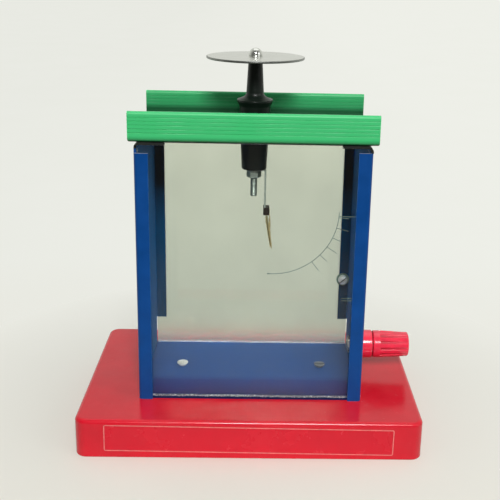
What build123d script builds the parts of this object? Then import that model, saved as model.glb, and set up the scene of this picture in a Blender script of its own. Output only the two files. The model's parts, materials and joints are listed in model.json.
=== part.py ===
"""Gold leaf electroscope: an instrument case with clear windows on a moulded base.

All sizes are in millimetres. The origin is the centre of the base's underside, +X points
towards the red terminal, +Y points away from the front window and +Z points up.
"""
import os
from math import radians, tan

from build123d import *

os.makedirs("parts", exist_ok=True)

# Sizes of the moulded base
base_length = 150.0
base_depth = 95.0
base_height = 17.6
base_wall = 2.5
base_roof = 2.5
base_corner_radius = 5.0
base_inner_corner_radius = 2.5
base_top_edge_radius = 1.8
base_foot_edge_radius = 0.6

# Sizes of the name plate, which carries no words
label_length = 124.4
label_height = 12.3
label_thickness = 0.2
label_corner_radius = 0.8
label_centre_z = 8.9
label_tilt = 0.5

# Sizes of the folded sheet sides of the case
sheet = 1.0
case_centre_y = 2.25
case_width = 99.0
case_depth = 61.5
case_height = 116.6
case_top_bend_radius = 2.6
case_side_bend_radius = 1.5
case_side_bend_inner_radius = 0.5
front_flange_width = 6.0
rear_flange_width = 5.9
flange_top_drop = 3.0
left_flange_cut = 1.6
top_lip_width = 12.5
rear_flange_start = 13.0
floor_side_gap = 0.2
floor_corner_cut = 0.7

# Sizes of the two windows
window_thickness = 2.0
window_side_gap = 0.5
window_top_gap = 0.3
window_raise = 1.2
window_lip_gap = 0.3
window_corner_cut = 1.4

# Sizes of the screws that hold the floor plate to the base
floor_screw_spacing = 66.0
floor_screw_y = 4.2
floor_screw_diameter = 3.2
floor_screw_hole_gap = 0.1
floor_screw_head_diameter = 5.2
floor_screw_head_rim = 0.3
floor_screw_head_lift = 0.1
floor_screw_tail = 1.6
floor_screw_slot_width = 0.7
floor_screw_slot_depth = 0.8
floor_nut_across_flats = 5.5
floor_nut_height = 2.5
floor_nut_hole_gap = 0.05
screw_head_taper = 45.0

# Sizes of the screw and washer that clamp the rear window
pane_screw_inset = 4.25
pane_screw_z = 53.9
pane_screw_diameter = 2.3
pane_screw_hole_gap = 0.1
pane_screw_head_diameter = 4.6
pane_screw_head_height = 1.8
pane_screw_head_edge_radius = 0.8
pane_screw_tail = 1.6
pane_screw_slot_width = 0.7
pane_screw_slot_depth = 0.8
pane_screw_slot_angle = 40.0
pane_washer_diameter = 6.4
pane_washer_thickness = 0.6

# Sizes of the ribbed tray on top of the case
tray_length = 103.4
tray_depth = 62.5
tray_height = 12.8
tray_wall = 2.6
tray_floor = 2.0
tray_foot_radius = 2.4
tray_inner_radius = 1.2
tray_end_radius = 1.0
rib_pitch = 1.6
rib_groove_width = 0.45
rib_groove_depth = 0.18
rib_count = 5
rib_first_height = 4.0

# Sizes of the black insulating stopper
stopper_lower_length = 28.2
stopper_above_tray = 9.0
stopper_foot_radius = 5.6
stopper_shoulder_radius = 6.9
stopper_foot_round = 0.6
stopper_hole_gap = 0.1
stopper_flange_radius = 7.9
stopper_flange_underside = 2.2
stopper_flange_height = 0.9
stopper_flange_round = 0.3
stopper_flare_radius = 7.2
stopper_flare_height = 3.0
stopper_flare_rise = 0.5
stopper_neck_radius = 3.85
stopper_neck_height = 14.7
stopper_neck_top_radius = 3.05
stopper_bore_gap = 0.05

# Sizes of the conductor with its plate, ball, washer and nut
rod_diameter = 3.2
rod_below_stopper = 12.6
rod_above_plate = 2.0
rod_end_chamfer = 0.3
plate_diameter = 42.8
plate_thickness = 1.0
plate_edge_radius = 0.35
plate_hole_gap = 0.1
ball_diameter = 6.0
ball_centre_height = 0.6
ball_bore_gap = 0.05
ball_bore_spare = 0.2
ring_washer_diameter = 6.6
ring_washer_thickness = 0.5
ring_washer_hole_gap = 0.1
ring_nut_across_flats = 5.8
ring_nut_height = 2.6
ring_nut_hole_gap = 0.05
ring_nut_chamfer = 0.25

# Sizes of the hanger, clamp, fixed strip and gold leaf
hanger_thickness = 0.8
hanger_width = 4.0
hanger_eye_diameter = 6.6
hanger_leg_outside = 5.6
hanger_leg_drop = 17.7
hanger_bend_radius = 1.2
hanger_bend_inner_radius = 0.4
hanger_in_clamp = 1.6
clamp_left = 4.5
clamp_right = 7.2
clamp_width = 4.6
clamp_height = 3.6
clamp_edge_radius = 0.4
clamp_slot_gap = 0.05
clamp_seam_width = 0.4
clamp_seam_depth = 0.3
strip_thickness = 0.3
strip_width = 4.0
strip_x = 5.8
strip_in_clamp = 1.4
strip_length = 15.4
strip_lean = 8.5
leaf_thickness = 0.15
leaf_width = 4.0
leaf_length = 16.3
leaf_lean = 4.6
leaf_side_gap = 0.2
leaf_drop_gap = 0.15
leaf_bow = 0.35
leaf_bead_radius = 0.12

# Sizes of the red terminal with its four millimetre socket
terminal_z = 31.6
terminal_hole_diameter = 8.0
terminal_spigot_gap = 0.05
collar_diameter = 13.2
collar_length = 7.9
collar_edge_radius = 0.6
stud_diameter = 4.0
stud_hole_gap = 0.05
stud_inner_end = 3.2
stud_in_insert = 4.8
stud_end_chamfer = 0.3
cap_collar_gap = 0.3
cap_length = 17.1
cap_diameter = 12.8
cap_end_diameter = 11.4
cap_smooth_length = 3.4
cap_edge_radius = 0.7
cap_bore_gap = 0.05
flute_count = 12
flute_radius = 1.0
flute_centre_radius = 6.75
flute_widen = 1.0
insert_diameter = 7.4
insert_start = 0.3
insert_end_recess = 0.6
insert_web = 0.8
socket_diameter = 4.1
socket_depth = 10.2
socket_lead_in = 0.4
terminal_washer_diameter = 9.0
terminal_washer_thickness = 0.6
terminal_washer_hole_gap = 0.1
terminal_nut_across_flats = 7.0
terminal_nut_height = 2.0
terminal_nut_hole_gap = 0.05

# Heights and positions that follow from the sizes above
base_top = base_height
floor_top = base_top + sheet
case_top = base_top + case_height
case_ceiling = case_top - sheet
case_front = case_centre_y - case_depth / 2
case_rear = case_centre_y + case_depth / 2
case_side = case_width / 2
case_inner_side = case_side - sheet
flange_top = case_top - flange_top_drop
tray_floor_top = case_top + tray_floor
tray_top = case_top + tray_height
stopper_shoulder_z = tray_floor_top + stopper_above_tray
stopper_foot_z = stopper_shoulder_z - stopper_lower_length
stopper_rim_z = stopper_shoulder_z + stopper_flange_underside
stopper_flange_top = stopper_rim_z + stopper_flange_height
stopper_neck_z = stopper_flange_top + stopper_flare_height
stopper_top = stopper_neck_z + stopper_neck_height
stopper_growth = (stopper_shoulder_radius - stopper_foot_radius) / stopper_lower_length
stopper_seat_radius = stopper_foot_radius + stopper_growth * (tray_floor_top - stopper_foot_z)
stopper_hole_radius = stopper_seat_radius + stopper_hole_gap
plate_top = stopper_top + plate_thickness
rod_radius = rod_diameter / 2
rod_bottom = stopper_foot_z - rod_below_stopper
rod_top = plate_top + rod_above_plate
hanger_under = stopper_foot_z - hanger_thickness
ring_washer_under = hanger_under - ring_washer_thickness
ring_nut_under = ring_washer_under - ring_nut_height
hanger_leg_inside = hanger_leg_outside - hanger_thickness
clamp_top = stopper_foot_z - hanger_leg_drop
clamp_bottom = clamp_top - clamp_height
leaf_pivot_x = clamp_right + leaf_side_gap
leaf_pivot_z = clamp_bottom - leaf_drop_gap
collar_end = case_side + collar_length
cap_start = collar_end + cap_collar_gap
cap_end = cap_start + cap_length
insert_begin = cap_start + insert_start
insert_finish = cap_end - insert_end_recess
socket_bottom = insert_finish - socket_depth
stud_end = insert_begin + stud_in_insert
stud_pocket_end = socket_bottom - insert_web

# Moulded base, open underneath
with BuildPart() as base:
    with BuildSketch(Plane.XY):
        RectangleRounded(base_length, base_depth, base_corner_radius)
    extrude(amount=base_height)
    fillet(base.faces().sort_by(Axis.Z)[-1].edges(), radius=base_top_edge_radius)
    with BuildSketch(Plane.XY):
        RectangleRounded(base_length - 2 * base_wall, base_depth - 2 * base_wall, base_inner_corner_radius)
    extrude(amount=base_height - base_roof, mode=Mode.SUBTRACT)
    rim = base.faces().filter_by(Axis.Z).sort_by(Axis.Z)[0]
    fillet(rim.outer_wire().edges(), radius=base_foot_edge_radius)
    with BuildSketch(Plane.XY.offset(base_top)):
        with Locations((0, floor_screw_y)):
            with GridLocations(floor_screw_spacing, 1, 2, 1):
                Circle(floor_screw_diameter / 2 + floor_screw_hole_gap)
    extrude(amount=-base_roof, mode=Mode.SUBTRACT)
base.part.label = "base"
export_step(base.part, "parts/base.step")

# Bare name plate on the front of the base, set very slightly askew
label_place = Plane(origin=(0, -base_depth / 2, label_centre_z), x_dir=(1, 0, 0), z_dir=(0, -1, 0))
with BuildPart() as label_plate:
    with BuildSketch(label_place):
        RectangleRounded(label_length, label_height, label_corner_radius, rotation=-label_tilt)
    extrude(amount=label_thickness)
label_plate.part.label = "label_plate"
export_step(label_plate.part, "parts/label_plate.step")

# Folded sheet sides of the case, each with a front flange, a rear flange and a top lip
terminal_place = Plane(origin=(case_side, case_centre_y, terminal_z), x_dir=(0, 1, 0), z_dir=(1, 0, 0))
pane_screw_place = Plane(origin=(case_side - pane_screw_inset, case_rear, pane_screw_z), x_dir=(-1, 0, 0),
                         z_dir=(0, 1, 0))
lip_place = Plane(origin=(case_side - top_lip_width / 2, case_front, flange_top), x_dir=(1, 0, 0),
                  z_dir=(0, -1, 0))
with BuildPart() as side_sheet:
    with BuildSketch(Plane.XY.offset(base_top)):
        with Locations((0, case_centre_y)):
            RectangleRounded(case_width, case_depth, case_side_bend_radius)
            RectangleRounded(case_width - 2 * sheet, case_depth - 2 * sheet, case_side_bend_inner_radius,
                             mode=Mode.SUBTRACT)
        with Locations((-front_flange_width, case_front)):
            Rectangle(case_width, 2 * (sheet + case_side_bend_radius), mode=Mode.SUBTRACT)
        with Locations((-rear_flange_width, case_rear)):
            Rectangle(case_width, 2 * (sheet + case_side_bend_radius), mode=Mode.SUBTRACT)
        with Locations((-case_side, case_centre_y)):
            Rectangle(case_width, case_depth, mode=Mode.SUBTRACT)
    extrude(amount=flange_top - base_top)
    with BuildSketch(Plane.XY.offset(base_top)):
        with Locations((0, case_rear)):
            Rectangle(case_width, 2 * case_side_bend_radius)
    extrude(amount=sheet + rear_flange_start, mode=Mode.SUBTRACT)
    with BuildSketch(lip_place) as lip_outside:
        with Locations((0, flange_top_drop / 2)):
            Rectangle(top_lip_width, flange_top_drop)
        fillet(lip_outside.vertices().group_by(Axis.Y)[-1].sort_by(Axis.X)[-1], radius=case_top_bend_radius)
    extrude(amount=-case_depth)
    with BuildSketch(lip_place) as lip_inside:
        with Locations((-sheet / 2, (flange_top_drop - sheet) / 2)):
            Rectangle(top_lip_width - sheet, flange_top_drop - sheet)
        fillet(lip_inside.vertices().group_by(Axis.Y)[-1].sort_by(Axis.X)[-1],
               radius=case_top_bend_radius - sheet)
    extrude(amount=-case_depth, mode=Mode.SUBTRACT)

with BuildPart() as case_left_side:
    add(side_sheet.part.mirror(Plane.YZ))
    with BuildSketch(Plane(origin=(-case_side, case_front, flange_top), x_dir=(1, 0, 0), z_dir=(0, -1, 0))):
        Rectangle(2 * front_flange_width, 2 * left_flange_cut)
    extrude(amount=-case_side_bend_radius, mode=Mode.SUBTRACT)
case_left_side.part.label = "case_left_side"
export_step(case_left_side.part, "parts/case_left_side.step")

with BuildPart() as case_right_side:
    add(side_sheet.part)
    with BuildSketch(terminal_place):
        Circle(terminal_hole_diameter / 2)
    extrude(amount=-sheet, mode=Mode.SUBTRACT)
    with BuildSketch(pane_screw_place):
        Circle(pane_screw_diameter / 2 + pane_screw_hole_gap)
    extrude(amount=-sheet, mode=Mode.SUBTRACT)
case_right_side.part.label = "case_right_side"
export_step(case_right_side.part, "parts/case_right_side.step")

# Sheet floor inside the case
with BuildPart() as floor_plate:
    with BuildSketch(Plane.XY.offset(base_top)):
        with Locations((0, case_centre_y)):
            Rectangle(case_width - 2 * sheet - 2 * floor_side_gap, case_depth - 2 * sheet)
        with Locations((0, floor_screw_y)):
            with GridLocations(floor_screw_spacing, 1, 2, 1):
                Circle(floor_screw_diameter / 2 + floor_screw_hole_gap, mode=Mode.SUBTRACT)
    extrude(amount=sheet)
    chamfer(floor_plate.edges().filter_by(Axis.Z).filter_by(GeomType.LINE), length=floor_corner_cut)
floor_plate.part.label = "floor_plate"
export_step(floor_plate.part, "parts/floor_plate.step")

# Clear front window and frosted rear window, each standing on the floor behind its flanges
window_width = case_width - 2 * sheet - 2 * window_side_gap
window_shoulder_height = case_ceiling - window_top_gap - floor_top
window_height = window_shoulder_height + window_raise
window_neck_width = 2 * (case_side - top_lip_width - window_lip_gap)
with BuildPart() as front_window:
    with BuildSketch(Plane(origin=(0, case_front + sheet, floor_top), x_dir=(1, 0, 0),
                           z_dir=(0, -1, 0))) as front_outline:
        with Locations((0, window_shoulder_height / 2)):
            Rectangle(window_width, window_shoulder_height)
        chamfer(front_outline.vertices().group_by(Axis.Y)[-1], length=window_corner_cut)
        with Locations((0, window_height / 2)):
            Rectangle(window_neck_width, window_height)
    extrude(amount=-window_thickness)
front_window.part.label = "front_window"
export_step(front_window.part, "parts/front_window.step")

with BuildPart() as rear_window:
    with BuildSketch(Plane(origin=(0, case_rear - sheet - window_thickness, floor_top), x_dir=(1, 0, 0),
                           z_dir=(0, -1, 0))) as rear_outline:
        with Locations((0, window_shoulder_height / 2)):
            Rectangle(window_width, window_shoulder_height)
        chamfer(rear_outline.vertices().group_by(Axis.Y)[-1], length=window_corner_cut)
        with Locations((0, window_height / 2)):
            Rectangle(window_neck_width, window_height)
    extrude(amount=-window_thickness)
    with BuildSketch(pane_screw_place):
        Circle(pane_screw_diameter / 2 + pane_screw_hole_gap)
    extrude(amount=-sheet - window_thickness, mode=Mode.SUBTRACT)
rear_window.part.label = "rear_window"
export_step(rear_window.part, "parts/rear_window.step")

# Washer and slotted screw that clamp the rear window to its flange
pane_washer_place = pane_screw_place.offset(-sheet - window_thickness)
with BuildPart() as pane_washer:
    with BuildSketch(pane_washer_place):
        Circle(pane_washer_diameter / 2)
        Circle(pane_screw_diameter / 2 + pane_screw_hole_gap, mode=Mode.SUBTRACT)
    extrude(amount=-pane_washer_thickness)
pane_washer.part.label = "pane_washer"
export_step(pane_washer.part, "parts/pane_washer.step")

pane_head_place = pane_washer_place.offset(-pane_washer_thickness)
pane_head_top = pane_head_place.offset(-pane_screw_head_height)
with BuildPart() as pane_screw:
    with BuildSketch(pane_head_place):
        Circle(pane_screw_head_diameter / 2)
    extrude(amount=-pane_screw_head_height)
    fillet(pane_screw.edges().sort_by(Axis.Y)[0], radius=pane_screw_head_edge_radius)
    with BuildSketch(pane_head_place):
        Circle(pane_screw_diameter / 2)
    extrude(amount=pane_washer_thickness + window_thickness + sheet + pane_screw_tail)
    with BuildSketch(pane_head_top):
        Rectangle(2 * pane_screw_head_diameter, pane_screw_slot_width, rotation=pane_screw_slot_angle)
    extrude(amount=pane_screw_slot_depth, mode=Mode.SUBTRACT)
pane_screw.part.label = "pane_screw"
export_step(pane_screw.part, "parts/pane_screw.step")

# Two countersunk screws, standing slightly proud of the floor, and the nuts under the base
screw_rim_z = floor_top + floor_screw_head_lift + (floor_screw_head_diameter - floor_screw_diameter) / 2
screw_head_z = screw_rim_z + floor_screw_head_rim
floor_nut_under = base_top - base_roof - floor_nut_height
screw_foot_z = floor_nut_under - floor_screw_tail
with BuildPart() as floor_screws:
    with BuildSketch(Plane.XY.offset(screw_foot_z)):
        with Locations((0, floor_screw_y)):
            with GridLocations(floor_screw_spacing, 1, 2, 1):
                Circle(floor_screw_diameter / 2)
    extrude(amount=screw_rim_z - screw_foot_z)
    with BuildSketch(Plane.XY.offset(screw_rim_z)):
        with Locations((0, floor_screw_y)):
            with GridLocations(floor_screw_spacing, 1, 2, 1):
                Circle(floor_screw_head_diameter / 2)
    extrude(amount=floor_screw_head_rim)
    with BuildSketch(Plane.XY.offset(screw_rim_z)):
        with Locations((0, floor_screw_y)):
            with GridLocations(floor_screw_spacing, 1, 2, 1):
                Circle(floor_screw_head_diameter / 2)
    extrude(amount=-(floor_screw_head_diameter - floor_screw_diameter) / 2, taper=screw_head_taper)
    with BuildSketch(Plane.XY.offset(screw_head_z)):
        with Locations((0, floor_screw_y)):
            with GridLocations(floor_screw_spacing, 1, 2, 1):
                Rectangle(2 * floor_screw_head_diameter, floor_screw_slot_width)
    extrude(amount=-floor_screw_slot_depth, mode=Mode.SUBTRACT)
floor_screws.part.label = "floor_screws"
export_step(floor_screws.part, "parts/floor_screws.step")

with BuildPart() as floor_nuts:
    with BuildSketch(Plane.XY.offset(base_top - base_roof)):
        with Locations((0, floor_screw_y)):
            with GridLocations(floor_screw_spacing, 1, 2, 1):
                RegularPolygon(floor_nut_across_flats / 2, 6, major_radius=False)
                Circle(floor_screw_diameter / 2 + floor_nut_hole_gap, mode=Mode.SUBTRACT)
    extrude(amount=-floor_nut_height)
floor_nuts.part.label = "floor_nuts"
export_step(floor_nuts.part, "parts/floor_nuts.step")

# Ribbed tray: a channel with two long walls, open at both ends
tray_front = case_centre_y - tray_depth / 2
tray_section = Plane(origin=(-tray_length / 2, case_centre_y, case_top), x_dir=(0, 1, 0), z_dir=(1, 0, 0))
tray_wall_middle = (tray_depth - tray_wall) / 2
with BuildPart() as lid_tray:
    with BuildSketch(tray_section) as tray_outside:
        with Locations((0, tray_height / 2)):
            Rectangle(tray_depth, tray_height)
        fillet(tray_outside.vertices().group_by(Axis.Y)[0], radius=tray_foot_radius)
    extrude(amount=tray_length)
    with BuildSketch(tray_section) as tray_inside:
        with Locations((0, (tray_height + tray_floor) / 2)):
            Rectangle(tray_depth - 2 * tray_wall, tray_height - tray_floor)
        fillet(tray_inside.vertices().group_by(Axis.Y)[0], radius=tray_inner_radius)
    extrude(amount=tray_length, mode=Mode.SUBTRACT)
    with BuildSketch(tray_section):
        with Locations((-tray_wall_middle, tray_height), (tray_wall_middle, tray_height)):
            Rectangle(tray_wall, tray_wall)
        with Locations((-tray_wall_middle, tray_height - tray_wall / 2),
                       (tray_wall_middle, tray_height - tray_wall / 2)):
            Circle(tray_wall / 2, mode=Mode.SUBTRACT)
        with Locations((0, tray_height - tray_wall)):
            Rectangle(tray_depth, tray_wall, mode=Mode.SUBTRACT)
    extrude(amount=tray_length, mode=Mode.SUBTRACT)
    with BuildSketch(tray_section):
        with Locations((0, rib_first_height + rib_pitch * (rib_count - 1) / 2)):
            with GridLocations(tray_depth, rib_pitch, 2, rib_count):
                Rectangle(2 * rib_groove_depth, rib_groove_width)
            with GridLocations(tray_depth - 2 * tray_wall, rib_pitch, 2, rib_count):
                Rectangle(2 * rib_groove_depth, rib_groove_width)
    extrude(amount=tray_length, mode=Mode.SUBTRACT)
    with BuildSketch(Plane(origin=(0, tray_front, case_top), x_dir=(1, 0, 0), z_dir=(0, -1, 0))) as tray_ends:
        Rectangle(tray_length, 2 * tray_end_radius)
        with Locations((0, tray_end_radius)):
            Rectangle(tray_length - 2 * tray_end_radius, 2 * tray_end_radius, mode=Mode.SUBTRACT)
        with Locations((tray_end_radius - tray_length / 2, tray_end_radius),
                       (tray_length / 2 - tray_end_radius, tray_end_radius)):
            Circle(tray_end_radius, mode=Mode.SUBTRACT)
    extrude(amount=-tray_depth, mode=Mode.SUBTRACT)
    with BuildSketch(Plane.XY.offset(case_top)):
        with Locations((0, case_centre_y)):
            Circle(stopper_hole_radius)
    extrude(amount=tray_floor, mode=Mode.SUBTRACT)
lid_tray.part.label = "lid_tray"
export_step(lid_tray.part, "parts/lid_tray.step")

# Conical insulating stopper with a flange and a flared neck, bored for the rod
axis_section = Plane(origin=(0, case_centre_y, 0), x_dir=(1, 0, 0), z_dir=(0, -1, 0))
centre_axis = Axis((0, case_centre_y, 0), (0, 0, 1))
with BuildPart() as insulator_stopper:
    with BuildSketch(axis_section):
        with BuildLine():
            Polyline((0, stopper_foot_z), (stopper_foot_radius, stopper_foot_z),
                     (stopper_shoulder_radius, stopper_shoulder_z), (stopper_flange_radius, stopper_rim_z),
                     (stopper_flange_radius, stopper_flange_top), (stopper_flare_radius, stopper_flange_top))
            Spline((stopper_flare_radius, stopper_flange_top), (stopper_neck_radius, stopper_neck_z),
                   tangents=((-1, stopper_flare_rise), (stopper_neck_top_radius - stopper_neck_radius,
                                                        stopper_neck_height)))
            Polyline((stopper_neck_radius, stopper_neck_z), (stopper_neck_top_radius, stopper_top),
                     (0, stopper_top), (0, stopper_foot_z))
        make_face()
    revolve(axis=centre_axis)
    with BuildSketch(Plane.XY.offset(stopper_foot_z)):
        with Locations((0, case_centre_y)):
            Circle(rod_radius + stopper_bore_gap)
    extrude(amount=stopper_top - stopper_foot_z, mode=Mode.SUBTRACT)
    flange_edges = insulator_stopper.edges().filter_by(GeomType.CIRCLE).sort_by(SortBy.RADIUS)[-2:]
    fillet(flange_edges, radius=stopper_flange_round)
    foot_edges = insulator_stopper.edges().filter_by(GeomType.CIRCLE).group_by(Axis.Z)[0]
    foot_edge = foot_edges.sort_by(SortBy.RADIUS)[-1]
    fillet(foot_edge, radius=stopper_foot_round)
insulator_stopper.part.label = "insulator_stopper"
export_step(insulator_stopper.part, "parts/insulator_stopper.step")

# Straight metal rod through the stopper
with BuildPart() as conductor_rod:
    with BuildSketch(Plane.XY.offset(rod_bottom)):
        with Locations((0, case_centre_y)):
            Circle(rod_radius)
    extrude(amount=rod_top - rod_bottom)
    chamfer(conductor_rod.edges().group_by(Axis.Z)[0], length=rod_end_chamfer)
conductor_rod.part.label = "conductor_rod"
export_step(conductor_rod.part, "parts/conductor_rod.step")

# Round charging plate on top of the stopper
with BuildPart() as charge_disc:
    with BuildSketch(Plane.XY.offset(stopper_top)):
        with Locations((0, case_centre_y)):
            Circle(plate_diameter / 2)
    extrude(amount=plate_thickness)
    fillet(charge_disc.edges(), radius=plate_edge_radius)
    with BuildSketch(Plane.XY.offset(stopper_top)):
        with Locations((0, case_centre_y)):
            Circle(rod_radius + plate_hole_gap)
    extrude(amount=plate_thickness, mode=Mode.SUBTRACT)
charge_disc.part.label = "charge_disc"
export_step(charge_disc.part, "parts/charge_disc.step")

# Ball nut that holds the plate down on the stopper
ball_radius = ball_diameter / 2
ball_centre_z = plate_top + ball_centre_height
with BuildPart() as ball_nut:
    with Locations((0, case_centre_y, ball_centre_z)):
        Sphere(ball_radius)
    split(bisect_by=Plane.XY.offset(plate_top), keep=Keep.TOP)
    with BuildSketch(Plane.XY.offset(plate_top)):
        with Locations((0, case_centre_y)):
            Circle(rod_radius + ball_bore_gap)
    extrude(amount=rod_above_plate + ball_bore_spare, mode=Mode.SUBTRACT)
ball_nut.part.label = "ball_nut"
export_step(ball_nut.part, "parts/ball_nut.step")

# Hanger strip: an eye on the rod, a short arm to the right and a long leg down
hanger_plane = Plane(origin=(0, case_centre_y - hanger_width / 2, 0), x_dir=(1, 0, 0), z_dir=(0, -1, 0))
leg_bottom = clamp_top - hanger_in_clamp
with BuildPart() as leaf_hanger:
    with BuildSketch(hanger_plane) as hanger_outline:
        with BuildLine():
            Polyline((0, stopper_foot_z), (hanger_leg_outside, stopper_foot_z),
                     (hanger_leg_outside, leg_bottom), (hanger_leg_inside, leg_bottom),
                     (hanger_leg_inside, hanger_under), (0, hanger_under), close=True)
        make_face()
        fillet(hanger_outline.vertices().sort_by_distance((hanger_leg_outside, stopper_foot_z))[0],
               radius=hanger_bend_radius)
        fillet(hanger_outline.vertices().sort_by_distance((hanger_leg_inside, hanger_under))[0],
               radius=hanger_bend_inner_radius)
    extrude(amount=-hanger_width)
    with BuildSketch(Plane.XY.offset(hanger_under)):
        with Locations((0, case_centre_y)):
            Circle(hanger_eye_diameter / 2)
    extrude(amount=hanger_thickness)
    with BuildSketch(Plane.XY.offset(hanger_under)):
        with Locations((0, case_centre_y)):
            Circle(rod_radius + ring_washer_hole_gap)
    extrude(amount=hanger_thickness, mode=Mode.SUBTRACT)
leaf_hanger.part.label = "leaf_hanger"
export_step(leaf_hanger.part, "parts/leaf_hanger.step")

# Washer and hexagon nut that hold the hanger against the stopper
with BuildPart() as lower_washer:
    with BuildSketch(Plane.XY.offset(ring_washer_under)):
        with Locations((0, case_centre_y)):
            Circle(ring_washer_diameter / 2)
            Circle(rod_radius + ring_washer_hole_gap, mode=Mode.SUBTRACT)
    extrude(amount=ring_washer_thickness)
lower_washer.part.label = "lower_washer"
export_step(lower_washer.part, "parts/lower_washer.step")

with BuildPart() as lower_nut:
    with BuildSketch(Plane.XY.offset(ring_nut_under)):
        with Locations((0, case_centre_y)):
            RegularPolygon(ring_nut_across_flats / 2, 6, major_radius=False)
            Circle(rod_radius + ring_nut_hole_gap, mode=Mode.SUBTRACT)
    extrude(amount=ring_nut_height)
    nut_rims = lower_nut.edges().filter_by(GeomType.LINE).filter_by(Axis.Z, reverse=True)
    chamfer(nut_rims, length=ring_nut_chamfer)
lower_nut.part.label = "lower_nut"
export_step(lower_nut.part, "parts/lower_nut.step")

# Small clamp with one slot for the hanger leg above and one for the fixed strip below
clamp_middle_x = (clamp_left + clamp_right) / 2
clamp_front_y = case_centre_y - clamp_width / 2
with BuildPart() as leaf_clamp:
    with BuildSketch(Plane.XY.offset(clamp_bottom)):
        with Locations((clamp_middle_x, case_centre_y)):
            RectangleRounded(clamp_right - clamp_left, clamp_width, clamp_edge_radius)
    extrude(amount=clamp_height)
    with BuildSketch(Plane.XY.offset(clamp_top)):
        with Locations(((hanger_leg_inside + hanger_leg_outside) / 2, case_centre_y)):
            Rectangle(hanger_thickness + 2 * clamp_slot_gap, hanger_width + 2 * clamp_slot_gap)
    extrude(amount=-hanger_in_clamp - clamp_slot_gap, mode=Mode.SUBTRACT)
    with BuildSketch(Plane.XY.offset(clamp_bottom)):
        with Locations((strip_x, case_centre_y)):
            Rectangle(strip_thickness + 2 * clamp_slot_gap, strip_width + 2 * clamp_slot_gap)
    extrude(amount=strip_in_clamp + clamp_slot_gap, mode=Mode.SUBTRACT)
    with BuildSketch(Plane(origin=(clamp_right, clamp_front_y, clamp_bottom + clamp_height / 2),
                           x_dir=(1, 0, 0), z_dir=(0, -1, 0))):
        Rectangle(2 * (clamp_right - clamp_left), clamp_seam_width)
    extrude(amount=-clamp_seam_depth, mode=Mode.SUBTRACT)
leaf_clamp.part.label = "leaf_clamp"
export_step(leaf_clamp.part, "parts/leaf_clamp.step")

# Fixed strip: upright in the clamp, then leaning a little to the right
strip_plane = Plane(origin=(0, case_centre_y - strip_width / 2, 0), x_dir=(1, 0, 0), z_dir=(0, -1, 0))
strip_left = strip_x - strip_thickness / 2
strip_right = strip_x + strip_thickness / 2
strip_foot_z = clamp_bottom - strip_length
strip_shift = strip_length * tan(radians(strip_lean))
with BuildPart() as fixed_strip:
    with BuildSketch(strip_plane):
        with BuildLine():
            Polyline((strip_left, clamp_bottom + strip_in_clamp), (strip_left, clamp_bottom),
                     (strip_left + strip_shift, strip_foot_z), (strip_right + strip_shift, strip_foot_z),
                     (strip_right, clamp_bottom), (strip_right, clamp_bottom + strip_in_clamp), close=True)
        make_face()
    extrude(amount=-strip_width)
fixed_strip.part.label = "fixed_strip"
export_step(fixed_strip.part, "parts/fixed_strip.step")

# Gold leaf: a thin, slightly bowed strip with a rolled top edge, hanging beside the clamp
leaf_plane = Plane(origin=(leaf_pivot_x, case_centre_y - leaf_width / 2, leaf_pivot_z), x_dir=(1, 0, 0),
                   z_dir=(0, -1, 0))
leaf_shift = leaf_length * tan(radians(leaf_lean))
leaf_half = leaf_thickness / 2
leaf_middle = leaf_shift / 2 - leaf_bow
with BuildPart() as gold_leaf:
    with BuildSketch(leaf_plane):
        with BuildLine():
            Spline((-leaf_half, 0), (leaf_middle - leaf_half, -leaf_length / 2),
                   (leaf_shift - leaf_half, -leaf_length))
            Line((leaf_shift - leaf_half, -leaf_length), (leaf_shift + leaf_half, -leaf_length))
            Spline((leaf_shift + leaf_half, -leaf_length), (leaf_middle + leaf_half, -leaf_length / 2),
                   (leaf_half, 0))
            Line((leaf_half, 0), (-leaf_half, 0))
        make_face()
        Circle(leaf_bead_radius)
    extrude(amount=-leaf_width)
gold_leaf.part.label = "gold_leaf"
export_step(gold_leaf.part, "parts/gold_leaf.step")

# Red collar of the terminal, with a spigot in the hole of the case side
with BuildPart() as terminal_collar:
    with BuildSketch(terminal_place):
        Circle(collar_diameter / 2)
    extrude(amount=collar_length)
    fillet(terminal_collar.edges(), radius=collar_edge_radius)
    with BuildSketch(terminal_place):
        Circle(terminal_hole_diameter / 2 - terminal_spigot_gap)
    extrude(amount=-sheet)
    with BuildSketch(terminal_place.offset(collar_length)):
        Circle(stud_diameter / 2 + stud_hole_gap)
    extrude(amount=-collar_length - sheet, mode=Mode.SUBTRACT)
terminal_collar.part.label = "terminal_collar"
export_step(terminal_collar.part, "parts/terminal_collar.step")

# Washer and nut that hold the terminal from inside the case
terminal_inside = terminal_place.offset(-sheet)
with BuildPart() as terminal_washer:
    with BuildSketch(terminal_inside):
        Circle(terminal_washer_diameter / 2)
        Circle(stud_diameter / 2 + terminal_washer_hole_gap, mode=Mode.SUBTRACT)
    extrude(amount=-terminal_washer_thickness)
terminal_washer.part.label = "terminal_washer"
export_step(terminal_washer.part, "parts/terminal_washer.step")

with BuildPart() as terminal_nut:
    with BuildSketch(terminal_inside.offset(-terminal_washer_thickness)):
        RegularPolygon(terminal_nut_across_flats / 2, 6, major_radius=False)
        Circle(stud_diameter / 2 + terminal_nut_hole_gap, mode=Mode.SUBTRACT)
    extrude(amount=-terminal_nut_height)
terminal_nut.part.label = "terminal_nut"
export_step(terminal_nut.part, "parts/terminal_nut.step")

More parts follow.
